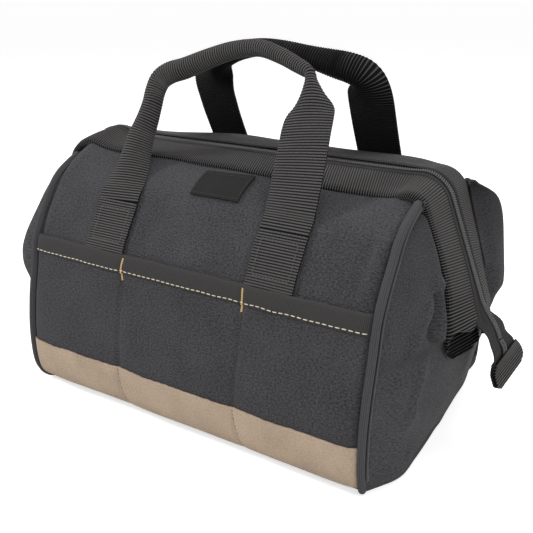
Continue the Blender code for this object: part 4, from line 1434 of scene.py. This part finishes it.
# From the left foot over the grip to the right foot, in millimetres: place, height up the handle,
# how far the strap is rolled, and how far the roll is squeezed.
HANDLE_PATHS = {
    FRONT: [(-76.5, 0, 0, 1), (-77.6, 20, 0.22, 1), (-78.4, 38, 0.48, 0.96),
            (-77.6, 54, 0.56, 0.9), (-75.2, 67, 0.68, 0.84), (-74.0, 79, 0.76, 0.8),
            (-74.2, 90, 0.8, 0.84), (-72.0, 99.5, 0.82, 0.92), (-64.5, 105.6, 0.82, 0.94),
            (-52, 110, 0.8, 0.88), (-30, 119, 0.86, 0.84), (-9, 125.6, 0.96, 0.84),
            (13, 128, 1, 0.8), (33, 123, 1, 0.74), (48, 117, 1, 0.68), (56.0, 113.6, 1, 0.6),
            (60, 111.2, 1, 0.46), (62.0, 107.0, 0.95, 0.46), (63.8, 101, 0.8, 0.72),
            (65.4, 92.5, 0.5, 0.96), (66.6, 83, 0.2, 1), (68.0, 72, 0.07, 1),
            (69.8, 58, 0.05, 1), (71.8, 38, 0.02, 1), (73, 18, 0, 1), (73, 0, 0, 1)],
    BACK: [(-73, 0, 0, 1), (-73, 40, 0, 1), (-72, 70, 0.02, 1), (-70.5, 88, 0.06, 1),
           (-67.5, 99, 0.3, 1), (-60, 108, 0.62, 1), (-48, 114.5, 0.74, 0.9), (-30, 121, 0.86, 0.85),
           (-8, 125.0, 0.94, 0.8), (12, 123.6, 0.94, 0.82), (31, 117.6, 0.84, 0.95),
           (50, 110.6, 0.66, 1), (63, 106.4, 0.56, 1), (71.5, 100.5, 0.4, 1),
           (75.0, 90, 0.14, 1), (75.4, 70, 0.03, 1), (74.6, 40, 0, 1), (73, 0, 0, 1)],
}
LEFT_FOOT_SHIFT = -0.0035     # how far the front left strap is sewn off its even place


def foot_shift(side, end):
    return LEFT_FOOT_SHIFT if (side, end) == (FRONT, LEFT) else 0.0


class HandlesMaker(bpy.types.Operator):
    """Make the two handles: flat legs that roll up into the grip"""
    bl_idname = "bag.handles"
    bl_label = "Handles"

    def execute(self, context):
        bag = lines()
        hands = bag.hands
        wide = bag.mouth.webbing_width
        pitch = bag.mouth.rib_pitch
        tube = wide / (2 * math.pi * (1 - GRIP_OPENING))
        for name, side in SIDES.items():
            points = np.array(HANDLE_PATHS[side], dtype=float) / (1000, 1000, 1, 1)
            count = round(even_path(points, 10, measured=2)[1] / pitch)
            rows = count * RIB_STEPS
            path = even_path(points, rows + 1, measured=2)[0]
            tangent = np.gradient(path[:, :2], axis=0)
            tangent /= np.linalg.norm(tangent, axis=1, keepdims=True)
            foot = np.array([float(a) for a in bag.wall(side, 0.0, hands.stitch_height, 0.0014)])
            foot[1:] += self.foot_lift(side)
            up = np.array([0, -side * math.sin(hands.lean), math.cos(hands.lean)])
            out = np.array([0, side * math.cos(hands.lean), math.sin(hands.lean)])

            def place(u, v):
                j = np.rint(v * rows).astype(int)
                x, h, curl, squeeze = path[j, 0], path[j, 1], path[j, 2], path[j, 3]
                share = 2 * u - 1
                turn = np.maximum(curl, 0.01) * math.pi * (1 - GRIP_OPENING)
                radius = wide / 2 / turn
                sideways = radius * np.sin(turn * share) * squeeze
                outward = radius * (np.cos(turn * share) - 1) + curl * tube
                outward = outward * mix(1, squeeze, 0.6)
                outward = -side * outward
                outward = outward + 0.0006 * ripple(71 + side, 0.06, x, h) * (1 - curl)
                flat_h = h - tangent[j, 0] * sideways
                spot = foot + flat_h[..., None] * up + outward[..., None] * out
                x = x + tangent[j, 1] * sideways
                height = hands.stitch_height + flat_h * math.cos(hands.lean)
                sewn = bag.wall(side, x, height, 0.0016 + wall_folds(side, x, height))
                free = ease(0.001, 0.016, h)
                return x, mix(sewn[1], spot[..., 1], free), mix(sewn[2], spot[..., 2], free)
            webbing_strip(name + "_strap_webbing", 26, rows, place, hands.strap - 0.0002, wide,
                          count * pitch, body=name + "_handle",
                          replaces=(name + "_handle_strap",))

            rolled = (np.abs(path[:, 0]) < 0.044) & (path[:, 2] > 0.87)
            points = []
            for x, h, curl, squeeze in path[rolled][::20]:
                radius = wide / (2 * curl * math.pi * (1 - GRIP_OPENING))
                middle = -side * (curl * tube - radius + 0.0016) * (0.4 + 0.6 * squeeze)
                points.append(tuple(foot + h * up + middle * out + (x, 0, 0)))
            piece = lay_cord(name + "_grip_cord", points, 0.003)
            finish(piece, "cord", "grip_cord", name + "_handle", (name + "_grip_core",))
        return {"FINISHED"}

    def foot_lift(self, side):
        """How far the wall under the straps' feet is from the wall's middle, as y and z."""
        bag = lines()
        spots = [bag.wall(side, end * bag.hands.strap_x, bag.hands.stitch_height, 0.0)
                 for end in (LEFT, RIGHT)]
        middle = bag.wall(side, 0.0, bag.hands.stitch_height, 0.0)
        return np.array([float(spots[0][n] + spots[1][n]) / 2 - float(middle[n])
                         for n in (1, 2)])


class StrapFeetMaker(bpy.types.Operator):
    """Make the straps' feet, sewn to the walls, and their stitches"""
    bl_idname = "bag.strap_feet"
    bl_label = "Strap Feet"

    def execute(self, context):
        bag = lines()
        hands = bag.hands
        wide = bag.mouth.webbing_width
        pitch = bag.mouth.rib_pitch
        low, high = 0.121, hands.stitch_height - 0.0006
        count = round(math.hypot(high - low, bag.reach(low) - bag.reach(high)) / pitch)
        for name, side in SIDES.items():
            rows = []
            for end_name, end in ENDS.items():
                def place(u, v, lift=0.0014):
                    x = end * hands.strap_x + foot_shift(side, end) + (u - 0.5) * wide
                    z = mix(low, high, v)
                    return bag.wall(side, x, z, lift + wall_folds(side, x, z))
                webbing_strip(f"{name}_{end_name}_foot_webbing", 26, count * RIB_STEPS, place,
                              hands.strap - 0.0002, wide, count * pitch, side=side,
                              replaces=(f"{name}_{end_name}_strap_foot",))
                rows += [stitch_line(points_of(place(u, v, 0.0026)), 0.0026)
                         for u, v in self.rows()]
            sew(name + "_foot_stitches", (0.0021, 0.0006, 0.0005), rows, (0, side, 0.6),
                "dark_thread", side=side)
        return {"FINISHED"}

    def rows(self):
        """Two rows across the strap, and a square below them, as shares of the foot."""
        across = np.linspace(0.04, 0.96, 30)
        inset = np.linspace(0.12, 0.88, 30)
        down = np.linspace(0.3, 0.86, 30)
        return [(across, 0.985 + 0 * across), (across, 0.93 + 0 * across),
                (inset, 0.3 + 0 * inset), (inset, 0.86 + 0 * inset),
                (0.12 + 0 * down, down), (0.88 + 0 * down, down)]


PATCH = 0.0078, 0.0209, 0.1727, 0.1862    # middle, half width, lower and upper edge


class PatchMaker(bpy.types.Operator):
    """Make the bare woven patch on the front"""
    bl_idname = "bag.patch"
    bl_label = "Patch"

    def execute(self, context):
        bag = lines()
        middle, half, low, high = PATCH

        def place(u, v, lift=0.0012):
            x = middle + (2 * u - 1) * half
            z = mix(low, high, v)
            return bag.wall(FRONT, x, z, lift + wall_folds(FRONT, x, z))
        sheet("woven_patch", 60, 24, place, 0.0008, "label", "label_weave", body="front_jaw",
              replaces=("label_patch",))
        ring = [(0.03, 0.1), (0.97, 0.1), (0.97, 0.9), (0.03, 0.9), (0.03, 0.1)]
        share = np.linspace(0, 1, 40)
        rows = [stitch_line(points_of(place(mix(u0, u1, share), mix(v0, v1, share), 0.0018)),
                            0.0022)
                for (u0, v0), (u1, v1) in zip(ring, ring[1:])]
        sew("patch_stitches", (0.0018, 0.0004, 0.0004), rows, (0, -1, 1), "black_thread",
            "label_weave", body="front_jaw")
        return {"FINISHED"}


def rounded_box(low, high, bevel=0.0003, segments=2):
    """Add a box between two corners and round its edges."""
    low, high = np.array(low, float), np.array(high, float)
    bpy.ops.object.select_all(action="DESELECT")
    bpy.ops.mesh.primitive_cube_add(size=1.0, location=tuple((low + high) / 2))
    box = bpy.context.object
    box.scale = tuple(high - low)
    bpy.ops.object.transform_apply(location=True, rotation=True, scale=True)
    bpy.ops.object.mode_set(mode="EDIT")
    bpy.ops.mesh.select_all(action="SELECT")
    bpy.ops.mesh.bevel(offset=bevel, segments=segments, affect="EDGES")
    bpy.ops.object.mode_set(mode="OBJECT")
    return box


def join(name, parts):
    bpy.ops.object.select_all(action="DESELECT")
    for part in parts:
        part.select_set(True)
    bpy.context.view_layer.objects.active = parts[0]
    bpy.ops.object.join()
    parts[0].name = parts[0].data.name = name
    return parts[0]


SLIDER_X = -0.118             # place of the closed slider along the top


class SliderMaker(bpy.types.Operator):
    """Make the zip's slider and its pull"""
    bl_idname = "bag.slider"
    bl_label = "Slider and Pull"

    def execute(self, context):
        bag = lines()
        middle = bag.mouth.zip_height + bag.chain_depth
        long, wide, plate, gap = 0.0065, 0.0045, 0.0014, 0.0022
        roof = middle + gap + plate
        x = SLIDER_X
        parts = []
        for sign in (1, -1):
            low, high = sorted((middle + sign * gap, middle + sign * (gap + plate)))
            shape = rounded_box((x - long, -wide, low), (x + long, wide, high), 0.0005, 3)
            for spot in shape.data.vertices:
                share = (spot.co.x - (x - long)) / (2 * long)
                spot.co.y *= 0.8 + 0.2 * math.sin(min(max(share, 0), 1) * math.pi * 0.6)
            parts.append(shape)
        parts.append(rounded_box((x + long - 0.003, -0.0003, middle - gap - 0.0005),
                                 (x + long - 0.0008, 0.0003, middle + gap + 0.0005), 0.0001, 1))
        parts.append(rounded_box((x - 0.004, -0.0008, roof + 0.0026),
                                 (x + 0.004, 0.0008, roof + 0.0036)))
        for sign in (-1, 1):
            low, high = sorted((x + sign * 0.004, x + sign * 0.003))
            parts.append(rounded_box((low, -0.0008, roof - 0.0006),
                                     (high, 0.0008, roof + 0.0032)))
        slider = join("slider_body", parts)
        finish(slider, "paint", "slider_metal", "slider", ("zip_slider",), sharp=40)

        bar = roof + 0.0013
        blade = rounded_box((x - 0.026, -0.0045, bar - 0.0007),
                            (x - 0.0052, 0.0045, bar + 0.0007), 0.0005, 3)
        for spot in blade.data.vertices:
            share = (x - 0.0052 - spot.co.x) / 0.0208
            spot.co.y *= 0.72 + 0.28 * math.sin(min(max(share, 0), 1) * math.pi * 0.75)
        parts = [blade, rounded_box((x - 0.0006, -0.0026, bar - 0.0006),
                                    (x + 0.0006, 0.0026, bar + 0.0006), 0.0002)]
        for sign in (-1, 1):
            low, high = sorted((sign * 0.0014, sign * 0.0027))
            parts.append(rounded_box((x - 0.0058, low, bar - 0.00055),
                                     (x + 0.0006, high, bar + 0.00055), 0.0002))
        pull = join("pull_tab", parts)
        finish(pull, "paint", "slider_metal", "pull", ("zip_pull",), sharp=40)
        return {"FINISHED"}


FLOOR_GLOW = 0.66             # brightens the floor for the camera alone
SKY_LIGHT = 0.32              # strength of the world's light, which the camera sees as 1


class StudioMaker(bpy.types.Operator):
    """Set up the floor, the lights and the camera"""
    bl_idname = "bag.studio"
    bl_label = "Studio"

    def execute(self, context):
        studio = sizes("bag_studio")
        bpy.ops.object.select_all(action="DESELECT")
        bpy.ops.mesh.primitive_grid_add(x_subdivisions=4, y_subdivisions=4, size=60.0,
                                        location=(0, 0, -0.0001))
        floor = bpy.context.object
        floor.name = "studio_floor"
        floor.data.materials.append(self.floor_look(tuple(studio.floor)))
        self.make_world()
        self.lamp("key_lamp", studio.key_power, 0.25, (-1.45, -0.7, 0.95))
        self.lamp("fill_lamp", studio.fill_power, 1.2, (1.4, -0.7, 0.9))
        self.lamp("top_lamp", studio.top_power, 1.0, (0.1, 0.3, 1.6))
        bpy.ops.object.camera_add(location=tuple(studio.camera_place), rotation=(
            math.pi / 2 - studio.elevation, 0, studio.azimuth))
        camera = bpy.context.object
        camera.data.lens = studio.lens
        camera.data.sensor_width = 36
        camera.data.clip_start = 0.01
        context.scene.camera = camera
        context.scene.view_settings.view_transform = "Standard"
        return {"FINISHED"}

    def floor_look(self, colour):
        """A pale floor that shows white to the camera and keeps a soft shadow."""
        look = grained("studio floor", shade(colour, 0.99), shade(colour, 1.01), 3.0,
                       roughness=0.9)
        dark, glow = (look.node("ShaderNodeEmission", values={"Strength": strength})
                      for strength in (0.0, FLOOR_GLOW))
        lit = look.node("ShaderNodeMixShader", values=[look.shown(), dark, glow])
        surface = Wire(look, look.shader.outputs[0])
        total = look.node("ShaderNodeAddShader", values=[surface, lit])
        look.tree.links.new(total.socket, look.tree.nodes["Material Output"].inputs["Surface"])
        return look.material

    def make_world(self):
        """Soft light from all round, and white where the camera looks at it."""
        world = bpy.data.worlds.new("studio world")
        bpy.context.scene.world = world
        world.use_nodes = True
        nodes = Nodes(world.node_tree)
        back = world.node_tree.nodes["Background"]
        back.inputs["Color"].default_value = (1, 1, 1, 1)
        strength = nodes.shown() * (1 - SKY_LIGHT) + SKY_LIGHT
        world.node_tree.links.new(strength.socket, back.inputs["Strength"])

    def lamp(self, name, power, size, place):
        bpy.ops.object.light_add(type="AREA", location=place)
        lamp = bpy.context.object
        lamp.name = name
        lamp.data.energy = power
        lamp.data.shape = "DISK"
        lamp.data.size = size
        way = Vector((0, 0, 0.1)) - Vector(place)
        lamp.rotation_euler = way.to_track_quat("-Z", "Y").to_euler()


MAKERS = (FinishesMaker, InnerPartsMaker, BaseMaker, WallsMaker, EndsMaker, PipingMaker,
          PocketsMaker, PocketTrimMaker, PocketStitchesMaker, MouthBandsMaker, ZipMaker,
          SliderMaker, TailsMaker, HandlesMaker, StrapFeetMaker, PatchMaker, StudioMaker)


class BAG_PT_pieces(bpy.types.Panel):
    """The bag's pieces and sizes"""
    bl_label = "Tool Bag"
    bl_space_type = "VIEW_3D"
    bl_region_type = "UI"
    bl_category = "Tool Bag"

    def draw(self, context):
        for maker in MAKERS:
            self.layout.operator(maker.bl_idname)
        for name, group in GROUPS.items():
            box = self.layout.box()
            for part in group.__annotations__:
                box.prop(getattr(context.scene, name), part)


def register():
    for made in (*GROUPS.values(), *MAKERS, BAG_PT_pieces):
        bpy.utils.register_class(made)
    for name, group in GROUPS.items():
        setattr(bpy.types.Scene, name, bpy.props.PointerProperty(type=group))


def unregister():
    for name in GROUPS:
        delattr(bpy.types.Scene, name)
    for made in (BAG_PT_pieces, *reversed(MAKERS), *reversed(list(GROUPS.values()))):
        bpy.utils.unregister_class(made)


def main():
    register()
    bpy.ops.object.select_all(action="DESELECT")
    for maker in MAKERS:
        getattr(bpy.ops.bag, maker.bl_idname.split(".")[1])()


if __name__ == "__main__":
    main()
